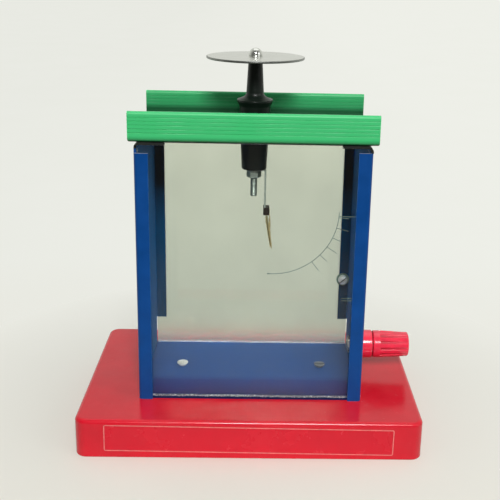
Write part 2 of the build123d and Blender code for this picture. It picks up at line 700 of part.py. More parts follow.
# Metal stud from inside the case to the moving part of the terminal
with BuildPart() as terminal_stud:
    with BuildSketch(terminal_inside.offset(-stud_inner_end)):
        Circle(stud_diameter / 2)
    extrude(amount=stud_end - case_inner_side + stud_inner_end)
    chamfer(terminal_stud.edges().filter_by(GeomType.CIRCLE), length=stud_end_chamfer)
terminal_stud.part.label = "terminal_stud"
export_step(terminal_stud.part, "parts/terminal_stud.step")

# Metal insert that runs on the stud and carries the socket for a plug
insert_place = terminal_place.offset(insert_begin - case_side)
insert_end_place = terminal_place.offset(insert_finish - case_side)
with BuildPart() as terminal_insert:
    with BuildSketch(insert_place):
        Circle(insert_diameter / 2)
    extrude(amount=insert_finish - insert_begin)
    with BuildSketch(insert_place):
        Circle(stud_diameter / 2 + stud_hole_gap)
    extrude(amount=stud_pocket_end - insert_begin, mode=Mode.SUBTRACT)
    with BuildSketch(insert_end_place):
        Circle(socket_diameter / 2)
    extrude(amount=-socket_depth, mode=Mode.SUBTRACT)
terminal_insert.part.label = "terminal_insert"
export_step(terminal_insert.part, "parts/terminal_insert.step")

# Red fluted cap that turns round the insert
cap_place = terminal_place.offset(cap_start - case_side)
cap_smooth_place = cap_place.offset(cap_smooth_length)
cap_taper = cap_length - cap_smooth_length
cap_axis = Axis((0, case_centre_y, terminal_z), (1, 0, 0))
cap_section = Plane(origin=(cap_start, case_centre_y, terminal_z), x_dir=(1, 0, 0), z_dir=(0, -1, 0))
with BuildPart() as terminal_cap:
    with BuildSketch(cap_section):
        with BuildLine():
            Polyline((0, 0), (0, cap_diameter / 2), (cap_smooth_length, cap_diameter / 2),
                     (cap_length, cap_end_diameter / 2), (cap_length, 0), close=True)
        make_face()
    revolve(axis=cap_axis)
    rim_edges = terminal_cap.edges().filter_by(GeomType.CIRCLE).sort_by(Axis.X)
    fillet([rim_edges[0], rim_edges[-1]], radius=cap_edge_radius)
    with BuildSketch(cap_smooth_place):
        with PolarLocations(flute_centre_radius, flute_count):
            Circle(flute_radius)
    extrude(amount=cap_taper, taper=-flute_widen, mode=Mode.SUBTRACT)
    with BuildSketch(cap_place):
        Circle(insert_diameter / 2 + cap_bore_gap)
    extrude(amount=cap_length, mode=Mode.SUBTRACT)
terminal_cap.part.label = "terminal_cap"
export_step(terminal_cap.part, "parts/terminal_cap.step")
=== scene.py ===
"""Finishes, detailed pieces, floor, lamps and camera of the gold leaf electroscope.

Everything is in metres. +X points towards the red terminal, +Y away from the front window, +Z up.
"""

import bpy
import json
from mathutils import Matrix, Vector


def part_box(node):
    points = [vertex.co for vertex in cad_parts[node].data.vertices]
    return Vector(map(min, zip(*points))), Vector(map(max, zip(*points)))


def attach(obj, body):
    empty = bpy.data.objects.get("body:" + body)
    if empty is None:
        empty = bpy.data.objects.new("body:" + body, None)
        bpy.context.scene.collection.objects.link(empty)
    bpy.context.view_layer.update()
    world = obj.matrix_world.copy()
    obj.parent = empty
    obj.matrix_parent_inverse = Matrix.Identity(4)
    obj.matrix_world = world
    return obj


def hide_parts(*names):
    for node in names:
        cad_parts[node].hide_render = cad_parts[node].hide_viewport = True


bl_info = {
    "name": "Gold Leaf Electroscope",
    "version": (1, 0, 0),
    "blender": (4, 5, 0),
    "location": "View3D > Sidebar > Electroscope",
    "description": "Dresses a gold leaf electroscope and sets its floor, lamps and camera",
    "category": "Object",
}

import json
from math import atan2, cos, pi, radians, sin

import bmesh
import bpy
from bpy.props import FloatProperty, FloatVectorProperty, IntProperty, PointerProperty
from mathutils import Matrix, Vector, noise

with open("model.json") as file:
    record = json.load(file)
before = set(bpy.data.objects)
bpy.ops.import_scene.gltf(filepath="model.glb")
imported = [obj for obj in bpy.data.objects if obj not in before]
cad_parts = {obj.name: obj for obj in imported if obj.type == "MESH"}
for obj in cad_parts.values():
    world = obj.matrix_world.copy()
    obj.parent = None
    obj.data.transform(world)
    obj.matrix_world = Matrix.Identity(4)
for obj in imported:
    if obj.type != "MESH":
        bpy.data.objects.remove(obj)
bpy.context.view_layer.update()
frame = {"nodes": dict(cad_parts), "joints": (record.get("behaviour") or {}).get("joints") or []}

SHADER = "Principled BSDF"
GRAIN = "Surface Grain"
DUST = "Settled Dust"
WORN_EDGES = "Worn Edges"
HAIRLINES = "Hairline Scratches"
ALONG_X = Vector((1, 0, 0))
ALONG_Z = Vector((0, 0, 1))
TOLERANCE = 1e-6
NOISE_LOW, NOISE_HIGH = 0.3, 0.7


def colour_property(name, description, default):
    """A colour that the panel shows as a swatch."""
    return FloatVectorProperty(name=name, description=description, subtype="COLOR", size=3, min=0.0, max=1.0,
                               default=default)


def length_property(name, description, default):
    """A length in metres."""
    return FloatProperty(name=name, description=description, subtype="DISTANCE", unit="LENGTH", min=0.0,
                         precision=5, default=default)


def angle_property(name, description, degrees):
    """An angle."""
    return FloatProperty(name=name, description=description, subtype="ANGLE", unit="ROTATION",
                         default=radians(degrees))


def power_property(name, description, default):
    """The power of a lamp in watts."""
    return FloatProperty(name=name, description=description, subtype="POWER", unit="POWER", min=0.0,
                         default=default)


def place_property(name, description, default):
    """A place in metres."""
    return FloatVectorProperty(name=name, description=description, subtype="TRANSLATION", unit="LENGTH",
                               size=3, precision=5, default=default)


class ElectroscopeColours(bpy.types.PropertyGroup):
    """Colours of the finishes."""
    base_red: colour_property("Base Red", "Gloss moulding of the base", (0.66, 0.004, 0.02))
    label_red: colour_property("Label Red", "Film of the name plate", (0.65, 0.004, 0.021))
    label_border: colour_property("Label Border", "Thin line round the name plate", (0.74, 0.2, 0.19))
    case_blue: colour_property("Case Blue", "Paint of the folded case sides", (0.001, 0.058, 0.25))
    # Inside Blue is painted shading: the blue that the inner faces show as they are lit, not a paint of its
    # own.
    inside_shading_blue: colour_property("Inside Blue", "Dark paint on the inside of the case", (0.001, 0.1, 0.3))
    # Cut Edge is painted shade under the tray, partly bare metal of the cut ends.
    cut_end_shade: colour_property("Cut Edge", "Bare cut ends of the folded sheet", (0.02, 0.022, 0.02))
    floor_blue: colour_property("Floor Blue", "Paint of the floor plate", (0.007, 0.048, 0.18))
    pane_tint: colour_property("Pane Tint", "Clear sheet of the front window", (0.97, 0.98, 0.96))
    frost_tint: colour_property("Frost Tint", "Frosted sheet of the rear window", (0.83, 0.86, 0.76))
    foot_white: colour_property("Foot White", "Chipped foot of the rear window", (0.42, 0.45, 0.5))
    tray_green: colour_property("Tray Green", "Extruded plastic of the tray", (0.05, 0.54, 0.18))
    stopper_black: colour_property("Stopper Black", "Insulating plastic stopper", (0.004, 0.008, 0.0055))
    terminal_red: colour_property("Terminal Red", "Shiny plastic of the terminal", (0.9, 0.026, 0.07))
    nickel: colour_property("Nickel", "Metal parts of the terminal", (0.5, 0.48, 0.44))
    bright_metal: colour_property("Bright Metal", "Plated plate and ball", (0.67, 0.68, 0.65))
    # Steel has a green cast: painted reflection of the green tray, over the grey of the steel.
    steel: colour_property("Steel", "Rod, hanger and the washer and nut that hold it", (0.34, 0.4, 0.36))
    zinc: colour_property("Zinc", "Screws and nuts of the case", (0.78, 0.78, 0.75))
    dull_zinc: colour_property("Dull Zinc", "Washer under the pane screw", (0.17, 0.26, 0.22))
    clamp_metal: colour_property("Clamp Metal", "Dark metal of the leaf clamp", (0.06, 0.05, 0.045))
    brass: colour_property("Brass", "Fixed strip behind the leaf", (0.6, 0.56, 0.34))
    gold: colour_property("Gold", "Gold leaf", (0.62, 0.43, 0.15))
    scale_ink: colour_property("Scale Lines", "Lines marked on the front window", (0.125, 0.195, 0.175))


class ElectroscopeSizes(bpy.types.PropertyGroup):
    """Sizes of the detailed pieces."""
    label_length: length_property("Label Length", "Length of the name plate", 0.1244)
    label_height: length_property("Label Height", "Height of the name plate", 0.0123)
    label_border: length_property("Label Border", "Width of the pale line round the name plate", 0.0004)
    label_corner: length_property("Label Corner", "Radius of the corners of the name plate", 0.0008)
    label_tilt: angle_property("Label Tilt", "How far the name plate is stuck on askew", 0.5)
    scale_radius: length_property("Scale Radius", "Radius of the arc on the front window", 0.028)
    scale_line: length_property("Scale Line", "Width of the lines on the front window", 0.0003)
    scale_tick: length_property("Scale Tick", "Length of a division mark", 0.0042)
    scale_divisions: IntProperty(name="Scale Divisions", description="Number of division marks on the arc",
                                 default=6, min=2, max=18)
    thread_pitch: length_property("Thread Pitch", "Pitch of the thread on the rod", 0.0005)
    thread_depth: length_property("Thread Depth", "Depth of the thread on the rod", 0.00018)
    strip_thickness: length_property("Strip Thickness", "Thickness of the fixed strip", 0.0003)
    strip_twist: angle_property("Strip Twist", "How far the fixed strip is twisted under its clamp", 16.0)
    leaf_thickness: length_property("Leaf Thickness", "Thickness that the gold leaf is shown with", 0.00005)
    leaf_crinkle: length_property("Leaf Crinkle", "How deeply the gold leaf is creased", 0.00012)
    leaf_bow: length_property("Leaf Bow", "How far the gold leaf is bowed at half its length", 0.00035)
    leaf_twist: angle_property("Leaf Twist", "How far the gold leaf is twisted under its clamp", 14.0)
    pane_raise: length_property("Pane Raise", "How far the middle of a window stands up", 0.0012)
    pane_neck: length_property("Pane Neck", "Width of the raised middle of a window", 0.0734)
    pane_corner: length_property("Pane Corner", "Bevel on the shoulders of a window", 0.0014)
    pane_chip: length_property("Pane Chips", "Depth of the chips along the sawn foot of a window", 0.0003)
    rear_flange: length_property("Rear Flange", "Width of the flanges behind the rear window", 0.0059)
    flange_start: length_property("Flange Start", "How high above the floor the flanges start", 0.013)
    rear_foot: length_property("Rear Foot", "Height of the white chipped foot of the rear window", 0.0008)
    screw_head_edge: length_property("Screw Head Edge", "Radius round the head of the pane screw", 0.0008)
    screw_shank: length_property("Screw Shank", "Diameter of the pane screw under its head", 0.0023)
    screw_slot_width: length_property("Screw Slot Width", "Width of the slot in the pane screw", 0.0007)
    screw_slot_depth: length_property("Screw Slot Depth", "Depth of the slot in the pane screw", 0.0008)
    screw_slot_angle: angle_property("Screw Slot Angle", "How far the slot of the pane screw is turned", 40.0)
    cap_smooth: length_property("Cap Smooth", "Length of the smooth end of the terminal cap", 0.0034)
    cap_taper: length_property("Cap Taper", "How much the radius of the cap shrinks along its flutes", 0.0007)


class ElectroscopeStage(bpy.types.PropertyGroup):
    """Floor, lamps and camera."""
    floor_near: colour_property("Floor Near", "Floor in front of the object", (0.8, 0.78, 0.705))
    floor_far: colour_property("Floor Far", "Floor a long way behind the object", (0.85, 0.86, 0.8))
    key_power: power_property("Key Lamp", "Power of the lamp above the camera", 11.5)
    key_place: place_property("Key Lamp Place", "Where the lamp above the camera hangs", (0.07, -0.97, 0.8))
    fill_power: power_property("Fill Lamp", "Power of the soft lamp at the right", 1.6)
    fill_place: place_property("Fill Lamp Place", "Where the soft lamp at the right hangs", (0.85, -0.5, 0.5))
    top_power: power_property("Top Lamp", "Power of the lamp overhead", 1.5)
    top_place: place_property("Top Lamp Place", "Where the lamp overhead hangs", (0.05, 0.25, 1.05))
    sky_strength: FloatProperty(name="Room Light", description="Even light from all round", min=0.0,
                                default=0.34)
    camera_place: place_property("Camera Place", "Where the camera stands", (0.002156, -0.365602, 0.204546))
    camera_angles: FloatVectorProperty(name="Camera Angles", subtype="EULER", unit="ROTATION", size=3,
                                       description="Downward tilt, turn to the left and roll",
                                       default=(radians(15.789), radians(-1.322), radians(1.309)))
    camera_lens: FloatProperty(name="Lens", description="Focal length of the camera in millimetres",
                               unit="CAMERA", min=1.0, default=60.333)
    camera_shift: FloatVectorProperty(name="Camera Shift", size=2, default=(-0.0536, -0.0926),
                                      description="Sideways and upward shift of the view")


def colours():
    """The colours chosen in the panel."""
    return bpy.context.scene.electroscope_colours


def sizes():
    """The sizes chosen in the panel."""
    return bpy.context.scene.electroscope_sizes


def add_node(tree, kind, inputs=None, **options):
    """Adds a node and sets its options; each input is given a value or the socket that feeds it."""
    made = tree.nodes.new(kind)
    for name, value in options.items():
        setattr(made, name, value)
    for name, value in (inputs or {}).items():
        if isinstance(value, bpy.types.NodeSocket):
            tree.links.new(value, made.inputs[name])
        else:
            made.inputs[name].default_value = value
    return made


def calculate(tree, operation, *values, clamp=False):
    """A math node of the given operation."""
    made = add_node(tree, "ShaderNodeMath", dict(enumerate(values)), operation=operation, use_clamp=clamp)
    return made.outputs[0]


def multiply(tree, first, second):
    """The product of two values."""
    return calculate(tree, "MULTIPLY", first, second)


def distance_from(tree, value, middle=0.0):
    """How far a value lies from a middle one, on either side."""
    return calculate(tree, "ABSOLUTE", calculate(tree, "SUBTRACT", value, middle))


def combine(tree, operation, *values):
    """The outputs of a vector math node of the given operation."""
    return add_node(tree, "ShaderNodeVectorMath", dict(enumerate(values)), operation=operation).outputs


def remap(tree, value, low, high, new_low=0.0, new_high=1.0):
    """Brings a value from one range into another and holds it inside."""
    made = add_node(tree, "ShaderNodeMapRange", {"Value": value, "From Min": low, "From Max": high,
                                                 "To Min": new_low, "To Max": new_high})
    return made.outputs[0]


def mix_colours(tree, factor, first, second):
    """Goes from the first colour to the second as the factor rises from 0 to 1."""
    first, second = (value if isinstance(value, bpy.types.NodeSocket) else (*value, 1.0)
                     for value in (first, second))
    return add_node(tree, "ShaderNodeMix", {0: factor, 6: first, 7: second}, data_type="RGBA").outputs[2]


def mix_shaders(tree, factor, first, second):
    """Goes from the first shader to the second as the factor rises from 0 to 1."""
    return add_node(tree, "ShaderNodeMixShader", {0: factor, 1: first, 2: second}).outputs[0]


def raise_surface(tree, height, strength, distance):
    """A bump from a height, with its depth in metres."""
    made = add_node(tree, "ShaderNodeBump", {"Height": height, "Strength": strength, "Distance": distance})
    return made.outputs[0]


def clouds(tree, vector, scale, detail, roughness=0.5):
    """Cloudy noise that varies round 0.5."""
    return add_node(tree, "ShaderNodeTexNoise", {"Vector": vector, "Scale": scale, "Detail": detail,
                                                 "Roughness": roughness}).outputs[0]


def object_place(tree):
    """Object coordinates, which stay with the piece."""
    return add_node(tree, "ShaderNodeTexCoord").outputs["Object"]


def place_along(tree, axis):
    """Where the surface lies along an axis."""
    return add_node(tree, "ShaderNodeSeparateXYZ", {"Vector": object_place(tree)}).outputs[axis]


def surface_normal(tree):
    """The way that the surface faces."""
    return add_node(tree, "ShaderNodeNewGeometry").outputs["Normal"]


def facing_along(tree, axis):
    """How much the surface faces along an axis, from -1 to 1."""
    return add_node(tree, "ShaderNodeSeparateXYZ", {"Vector": surface_normal(tree)}).outputs[axis]


def reach_from(tree, centre, directions):
    """The way from a centre to the surface, in the directions that are given as 1."""
    return combine(tree, "MULTIPLY", combine(tree, "SUBTRACT", object_place(tree), centre)[0], directions)[0]


def shade(colour, factor):
    """The same colour, lighter or darker."""
    return tuple(min(1.0, channel * factor) for channel in colour)


def start_group(name, output, **inputs):
    """A new shader node group that takes a place and the named inputs and gives one output."""
    tree = bpy.data.node_groups.new(name, "ShaderNodeTree")
    for title, value in {"Vector": (0, 0, 0), **inputs}.items():
        kind = "NodeSocketVector" if isinstance(value, tuple) else "NodeSocketFloat"
        tree.interface.new_socket(title, in_out="INPUT", socket_type=kind).default_value = value
    tree.interface.new_socket(output, in_out="OUTPUT", socket_type="NodeSocketFloat")
    return tree, tree.nodes.new("NodeGroupInput").outputs, tree.nodes.new("NodeGroupOutput").inputs[output]


def build_grain_group():
    """Soft irregular tone, which can be drawn out along an axis."""
    tree, given, result = start_group(GRAIN, "Tone", Scale=900.0, Stretch=(1, 1, 1))
    drawn = add_node(tree, "ShaderNodeMapping", {"Vector": given["Vector"], "Scale": given["Stretch"]})
    tree.links.new(clouds(tree, drawn.outputs[0], given["Scale"], 4.0, 0.6), result)


def build_dust_group():
    """Specks and smudges that lie mostly on faces that look up."""
    tree, given, result = start_group(DUST, "Mask", Scale=420.0, Amount=0.5)
    place, scale = given["Vector"], given["Scale"]
    specks = add_node(tree, "ShaderNodeTexVoronoi", {"Vector": place, "Scale": scale, "Randomness": 1.0})
    reach = remap(tree, clouds(tree, place, scale, 2.0), 0.5, 0.75, 0.02, 0.26)
    speck = remap(tree, calculate(tree, "SUBTRACT", reach, specks.outputs["Distance"]), 0.0, 0.08)
    smudge = remap(tree, clouds(tree, place, multiply(tree, scale, 0.09), 5.0, 0.65), 0.42, 0.72, 0.0, 0.55)
    lying = remap(tree, facing_along(tree, "Z"), -0.1, 0.9, 0.3, 1.0)
    cover = multiply(tree, calculate(tree, "ADD", speck, smudge), lying)
    tree.links.new(calculate(tree, "MULTIPLY", cover, given["Amount"], clamp=True), result)


def build_worn_edges_group():
    """Broken line along sharp edges, where handling has rubbed the finish."""
    tree, given, result = start_group(WORN_EDGES, "Mask", Width=0.0004, Scale=500.0)
    rounded = add_node(tree, "ShaderNodeBevel", {"Radius": given["Width"]}, samples=6).outputs[0]
    turn = combine(tree, "DOT_PRODUCT", rounded, surface_normal(tree))["Value"]
    patches = remap(tree, clouds(tree, given["Vector"], given["Scale"], 5.0, 0.7), 0.42, 0.62)
    tree.links.new(multiply(tree, remap(tree, turn, 0.995, 0.8), patches), result)


def build_hairlines_group():
    """Fine scratches that cross each other at several angles."""
    tree, given, result = start_group(HAIRLINES, "Mask", Scale=900.0)
    total = 0.0
    for angle in (12.0, 74.0, 131.0):
        turned = add_node(tree, "ShaderNodeMapping", {"Vector": given["Vector"], "Scale": (0.03, 1.0, 1.0),
                                                      "Rotation": (0, 0, radians(angle))})
        lines = clouds(tree, turned.outputs[0], given["Scale"], 3.0)
        total = calculate(tree, "ADD", remap(tree, lines, 0.6, 0.68), total)
    tree.links.new(calculate(tree, "MINIMUM", total, 1.0), result)


GROUP_BUILDERS = {GRAIN: build_grain_group, DUST: build_dust_group, WORN_EDGES: build_worn_edges_group,
                  HAIRLINES: build_hairlines_group}


def shared(tree, group, vector, **values):
    """Places a shared group with its own values and gives its output."""
    if group not in bpy.data.node_groups:
        GROUP_BUILDERS[group]()
    made = tree.nodes.new("ShaderNodeGroup")
    made.node_tree = bpy.data.node_groups[group]
    tree.links.new(vector, made.inputs["Vector"])
    for name, value in values.items():
        made.inputs[name].default_value = value
    return made.outputs[0]


def new_finish(name, **values):
    """A new material whose shader holds the values that are the same all over."""
    material = bpy.data.materials.new(name)
    material.use_nodes = True
    tree = material.node_tree
    for title, value in values.items():
        tree.nodes[SHADER].inputs[title.replace("_", " ")].default_value = value
    return material, tree


def feed(tree, **sockets):
    """Links changing values into the shader."""
    for title, socket in sockets.items():
        tree.links.new(socket, tree.nodes[SHADER].inputs[title.replace("_", " ")])


def fed(tree, title):
    """What feeds an input of the shader so far."""
    return tree.nodes[SHADER].inputs[title].links[0].from_socket


def paint_over(tree, mask, colour):
    """Lays a colour over the finish where the mask is 1."""
    feed(tree, Base_Color=mix_colours(tree, mask, fed(tree, "Base Color"), colour))


def show(tree, shader):
    """Makes a shader the one that a finish shows."""
    tree.links.new(shader, tree.nodes["Material Output"].inputs["Surface"])


def pass_light(tree):
    """Lets lamps shine through a window, so that what stands behind it is lit."""
    shadow_ray = add_node(tree, "ShaderNodeLightPath").outputs["Is Shadow Ray"]
    clear = add_node(tree, "ShaderNodeBsdfTransparent", {"Color": (0.93, 0.94, 0.92, 1.0)})
    show(tree, mix_shaders(tree, shadow_ray, tree.nodes[SHADER].outputs[0], clear.outputs[0]))


def rays_of_sight(tree):
    """Masks for all rays that the camera sees, and for those that a gloss or a window has passed on to it."""
    path = add_node(tree, "ShaderNodeLightPath").outputs
    passed_on = calculate(tree, "MAXIMUM", path["Is Glossy Ray"], path["Is Transmission Ray"])
    seen = calculate(tree, "MAXIMUM", path["Is Camera Ray"], passed_on)
    return seen, calculate(tree, "SUBTRACT", seen, path["Is Camera Ray"])


def plastic_finish(name, colour, *, dust, dust_scale=420.0, dust_colour=(0.8, 0.62, 0.58), coat=0.0,
                   roughness=(0.16, 0.3), specular=0.5, ripple=0.0, stretch=(1, 1, 1), grain_scale=160.0,
                   variation=0.12, worn=0.0, worn_scale=500.0, worn_colour=(0.8, 0.8, 0.78)):
    """Moulded or extruded plastic and paint: uneven tone, settled dust, rubbed edges and a faint ripple."""
    material, tree = new_finish(name, Coat_Weight=coat, Coat_Roughness=0.05, Specular_IOR_Level=specular)
    place = object_place(tree)
    tone = shared(tree, GRAIN, place, Scale=grain_scale, Stretch=stretch)
    body = mix_colours(tree, remap(tree, tone, NOISE_LOW, NOISE_HIGH), shade(colour, 1.0 - variation),
                       shade(colour, 1.0 + variation))
    cover = shared(tree, DUST, place, Scale=dust_scale, Amount=dust)
    feed(tree, Base_Color=mix_colours(tree, cover, body, dust_colour),
         Roughness=calculate(tree, "ADD", remap(tree, tone, NOISE_LOW, NOISE_HIGH, *roughness),
                             multiply(tree, cover, 0.4), clamp=True))
    if worn:
        paint_over(tree, shared(tree, WORN_EDGES, place, Width=worn, Scale=worn_scale), worn_colour)
    if ripple:
        fine = shared(tree, GRAIN, place, Scale=grain_scale * 6.0, Stretch=stretch)
        feed(tree, Normal=raise_surface(tree, fine, 0.5, ripple))
    return material


def metal_finish(name, colour, *, metallic=1.0, roughness=(0.15, 0.35), scratch_scale=900.0,
                 scratch_depth=0.00002, tarnish=0.25, tarnish_colour=(0.12, 0.1, 0.08), grain_scale=260.0):
    """Metal with hairline scratches, cloudy tarnish and uneven gloss."""
    material, tree = new_finish(name, Metallic=metallic)
    place = object_place(tree)
    tone = shared(tree, GRAIN, place, Scale=grain_scale)
    scratches = shared(tree, HAIRLINES, place, Scale=scratch_scale)
    body = mix_colours(tree, remap(tree, tone, 0.45, 0.75, 0.0, tarnish), colour, tarnish_colour)
    feed(tree, Base_Color=mix_colours(tree, multiply(tree, scratches, 0.35), body, shade(colour, 1.25)),
         Roughness=calculate(tree, "ADD", remap(tree, tone, NOISE_LOW, NOISE_HIGH, *roughness),
                             multiply(tree, scratches, 0.15), clamp=True),
         Normal=raise_surface(tree, scratches, 0.4, scratch_depth))
    return material


def dress(material, *names):
    """Gives a finish to the nodes of the frame."""
    for name in names:
        for holder in frame["nodes"][name].material_slots:
            holder.material = material


def begin_piece():
    """Leaves edit mode and clears the selection."""
    if bpy.context.mode != "OBJECT":
        bpy.ops.object.mode_set(mode="OBJECT")
    bpy.ops.object.select_all(action="DESELECT")


def choose(piece):
    """Makes a piece the only one that is selected."""
    begin_piece()
    piece.select_set(True)
    bpy.context.view_layer.objects.active = piece


def settle_new(name, **changes):
    """Names the primitive just added and moves its place, turn and scale into its mesh."""
    piece = bpy.context.object
    piece.name = name
    for attribute, value in changes.items():
        setattr(piece, attribute, value)
    choose(piece)
    bpy.ops.object.transform_apply(location=True, rotation=True, scale=True)
    return piece


def add_block(name, low, high):
    """A block between two corners."""
    begin_piece()
    low, high = Vector(low), Vector(high)
    bpy.ops.mesh.primitive_cube_add(size=1.0, location=(low + high) / 2)
    return settle_new(name, scale=high - low)


def edit_piece(piece, kind, action="DESELECT"):
    """Opens a piece in edit mode with nothing or all of it selected."""
    choose(piece)
    bpy.ops.object.mode_set(mode="EDIT")
    bpy.ops.mesh.select_mode(type=kind)
    bpy.ops.mesh.select_all(action=action)


def select_edges(piece, wanted):
    """Selects the edges whose two ends pass the test."""
    mesh = bmesh.from_edit_mesh(piece.data)
    for edge in mesh.edges:
        edge.select_set(wanted(edge.verts[0].co, edge.verts[1].co))
    bmesh.update_edit_mesh(piece.data)


def select_faces(piece, wanted):
    """Selects the faces that pass the test on their middle and normal."""
    mesh = bmesh.from_edit_mesh(piece.data)
    for face in mesh.faces:
        face.select_set(wanted(face.calc_center_median(), face.normal))
    bmesh.update_edit_mesh(piece.data)


def evenly(low, high, parts):
    """The places that divide a stretch into equal parts."""
    return [low + (high - low) * step / parts for step in range(1, parts)]


def cut_across(axis, places):
    """Cuts the open piece square to an axis at each place along it."""
    for place in places:
        bpy.ops.mesh.select_all(action="SELECT")
        bpy.ops.mesh.bisect(plane_co=axis * place, plane_no=axis)


def move_points(piece, shift):
    """Moves each point of a piece by what the function gives for its place."""
    begin_piece()
    for point in piece.data.vertices:
        point.co += Vector(shift(point.co))
    piece.data.update()


def use_modifier(piece, name, kind, **options):
    """Adds a modifier and applies it."""
    choose(piece)
    modifier = piece.modifiers.new(name, kind)
    for option, value in options.items():
        setattr(modifier, option, value)
    bpy.ops.object.modifier_apply(modifier=name)


def smooth(piece, angle=35.0):
    """Smooth shading with its hard edges kept."""
    choose(piece)
    bpy.ops.object.shade_smooth_by_angle(angle=radians(angle))


def finish_piece(piece, body, materials, replaced=()):
    """Gives a piece its materials and ties it to its body and the nodes it stands for."""
    for material in materials:
        piece.data.materials.append(material)
    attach(piece, body)
    if replaced:
        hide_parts(*replaced)


class ELECTROSCOPE_OT_base(bpy.types.Operator):
    """Finish the base in dusty gloss red"""
    bl_idname = "electroscope.base"
    bl_label = "Base"

    def execute(self, context):
        material = plastic_finish("red_moulding_finish", colours().base_red, dust=0.05, specular=0.4,
                                  roughness=(0.16, 0.24), ripple=0.00002, grain_scale=60.0, variation=0.06,
                                  worn=0.0004, worn_colour=(0.8, 0.16, 0.15))
        dress(material, "base")
        return {"FINISHED"}


class ELECTROSCOPE_OT_label(bpy.types.Operator):
    """Model the bare name plate with its border and lifted corner"""
    bl_idname = "electroscope.label"
    bl_label = "Name Plate"

    def execute(self, context):
        low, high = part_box("label_plate")
        length = sizes().label_length
        thickness, glue = 0.00006, 0.00002
        lifted, lift_height = 0.007, 0.00012
        begin_piece()
        bpy.ops.mesh.primitive_plane_add(size=1.0, location=(0, high.y - glue, (low.z + high.z) / 2))
        plate = settle_new("name_plate_film", scale=(length, sizes().label_height, 1.0),
                           rotation_euler=(pi / 2, sizes().label_tilt, 0))
        edit_piece(plate, "VERT", "SELECT")
        bpy.ops.mesh.bevel(offset=sizes().label_corner, segments=5, affect="VERTICES")
        edit_piece(plate, "FACE", "SELECT")
        bpy.ops.mesh.inset(thickness=sizes().label_border, depth=0.0)
        bpy.ops.object.mode_set(mode="OBJECT")
        for face in plate.data.polygons:
            face.material_index = 0 if len(face.vertices) > 4 else 1
        edit_piece(plate, "FACE")
        cut_across(ALONG_X, evenly(-length / 2, length / 2, 24))
        corner = Vector((-length / 2, 0, low.z))

        def lift(place):
            """Lifts the lower left corner off the base."""
            away = (Vector((place.x, 0, place.z)) - corner).length
            return 0, -lift_height * max(0.0, 1.0 - away / lifted) ** 2, 0

        move_points(plate, lift)
        use_modifier(plate, "thickness", "SOLIDIFY", thickness=thickness, offset=1.0)
        smooth(plate)
        film = plastic_finish("label_film_finish", colours().label_red, dust=0.02, specular=0.4,
                              roughness=(0.22, 0.3), ripple=0.00002, grain_scale=80.0, variation=0.04)
        border = plastic_finish("label_border_finish", colours().label_border, dust=0.1,
                                roughness=(0.3, 0.45), grain_scale=600.0, variation=0.2)
        finish_piece(plate, "case", (film, border), ("label_plate",))
        return {"FINISHED"}


class ELECTROSCOPE_OT_case(bpy.types.Operator):
    """Finish the case sides and the floor plate in blue paint"""
    bl_idname = "electroscope.case"
    bl_label = "Case Sheet"

    def execute(self, context):
        self.finish_sides()
        self.finish_floor_plate()
        return {"FINISHED"}

    def finish_sides(self):
        """The paint of the folded sides, with painted shading on its inner faces, and painted shade, partly
        bare metal, at its cut ends and bend.
        """
        sheet = plastic_finish("blue_paint_finish", colours().case_blue, dust=0.02,
                               dust_colour=(0.35, 0.45, 0.6), roughness=(0.34, 0.5), specular=0.22,
                               ripple=0.00004, grain_scale=110.0, worn=0.00018, worn_colour=(0.2, 0.34, 0.55))
        low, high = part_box("case_left_side")
        top_band = 0.003
        self.paint_inside_shading(sheet.node_tree, Vector((0, (low.y + high.y) / 2, 0)))
        self.paint_cut_end_shade(sheet.node_tree, high.z - top_band, low.y)
        dress(sheet, "case_left_side", "case_right_side")

    def finish_floor_plate(self):
        """The paint of the floor plate, in shadow behind the front flanges."""
        floor = plastic_finish("floor_paint_finish", colours().floor_blue, dust=0.05,
                               dust_colour=(0.35, 0.4, 0.48), roughness=(0.5, 0.56), specular=0.12,
                               ripple=0.00002, grain_scale=240.0, variation=0.08)
        tree = floor.node_tree
        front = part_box("floor_plate")[0].y
        shadow_start, shadow_full, shadow_colour = front + 0.02, front + 0.004, (0.002, 0.008, 0.05)
        shadow = remap(tree, place_along(tree, "Y"), shadow_start, shadow_full, 0.0, 0.8)
        paint_over(tree, shadow, shadow_colour)
        dress(floor, "floor_plate")

    def paint_inside_shading(self, tree, centre):
        """Painted shading: another blue, with matt roughness, on the faces that look towards the middle of
        the case, for how they are lit.
        """
        level = reach_from(tree, centre, (1.0, 1.0, 0.0))
        outwards = combine(tree, "DOT_PRODUCT", surface_normal(tree), level)["Value"]
        inside = remap(tree, outwards, -0.001, -0.004)
        paint_over(tree, inside, colours().inside_shading_blue)
        feed(tree, Roughness=calculate(tree, "MAXIMUM", fed(tree, "Roughness"), multiply(tree, inside, 0.85)))

    def paint_cut_end_shade(self, tree, height, front_end):
        """Painted shade, partly bare dark metal, on the cut ends and the bend above a height, and a painted
        highlight on the ledge below.
        """
        shaded_front, bend_start, ledge_height = front_end + 0.0012, height + 0.0016, height - 0.0008
        ledge_highlight = (0.3, 0.33, 0.45)
        lies_at = place_along(tree, "Z")
        above = remap(tree, lies_at, height, height + 0.0002)
        end = remap(tree, distance_from(tree, facing_along(tree, "Y")), 0.6, 0.8)
        front = remap(tree, place_along(tree, "Y"), shaded_front + 0.0004, shaded_front)
        bend = remap(tree, lies_at, bend_start, bend_start + 0.0006)
        # Painted shade on the cut ends and the bend under the tray, partly bare metal.
        worn = multiply(tree, above, calculate(tree, "MAXIMUM", end, front))
        paint_over(tree, calculate(tree, "MAXIMUM", worn, bend), colours().cut_end_shade)
        # Painted highlight along the ledge under them.
        level = remap(tree, facing_along(tree, "Z"), 0.7, 0.9)
        ledge = remap(tree, distance_from(tree, lies_at, ledge_height), 0.0012, 0.0009)
        paint_over(tree, multiply(tree, level, ledge), ledge_highlight)


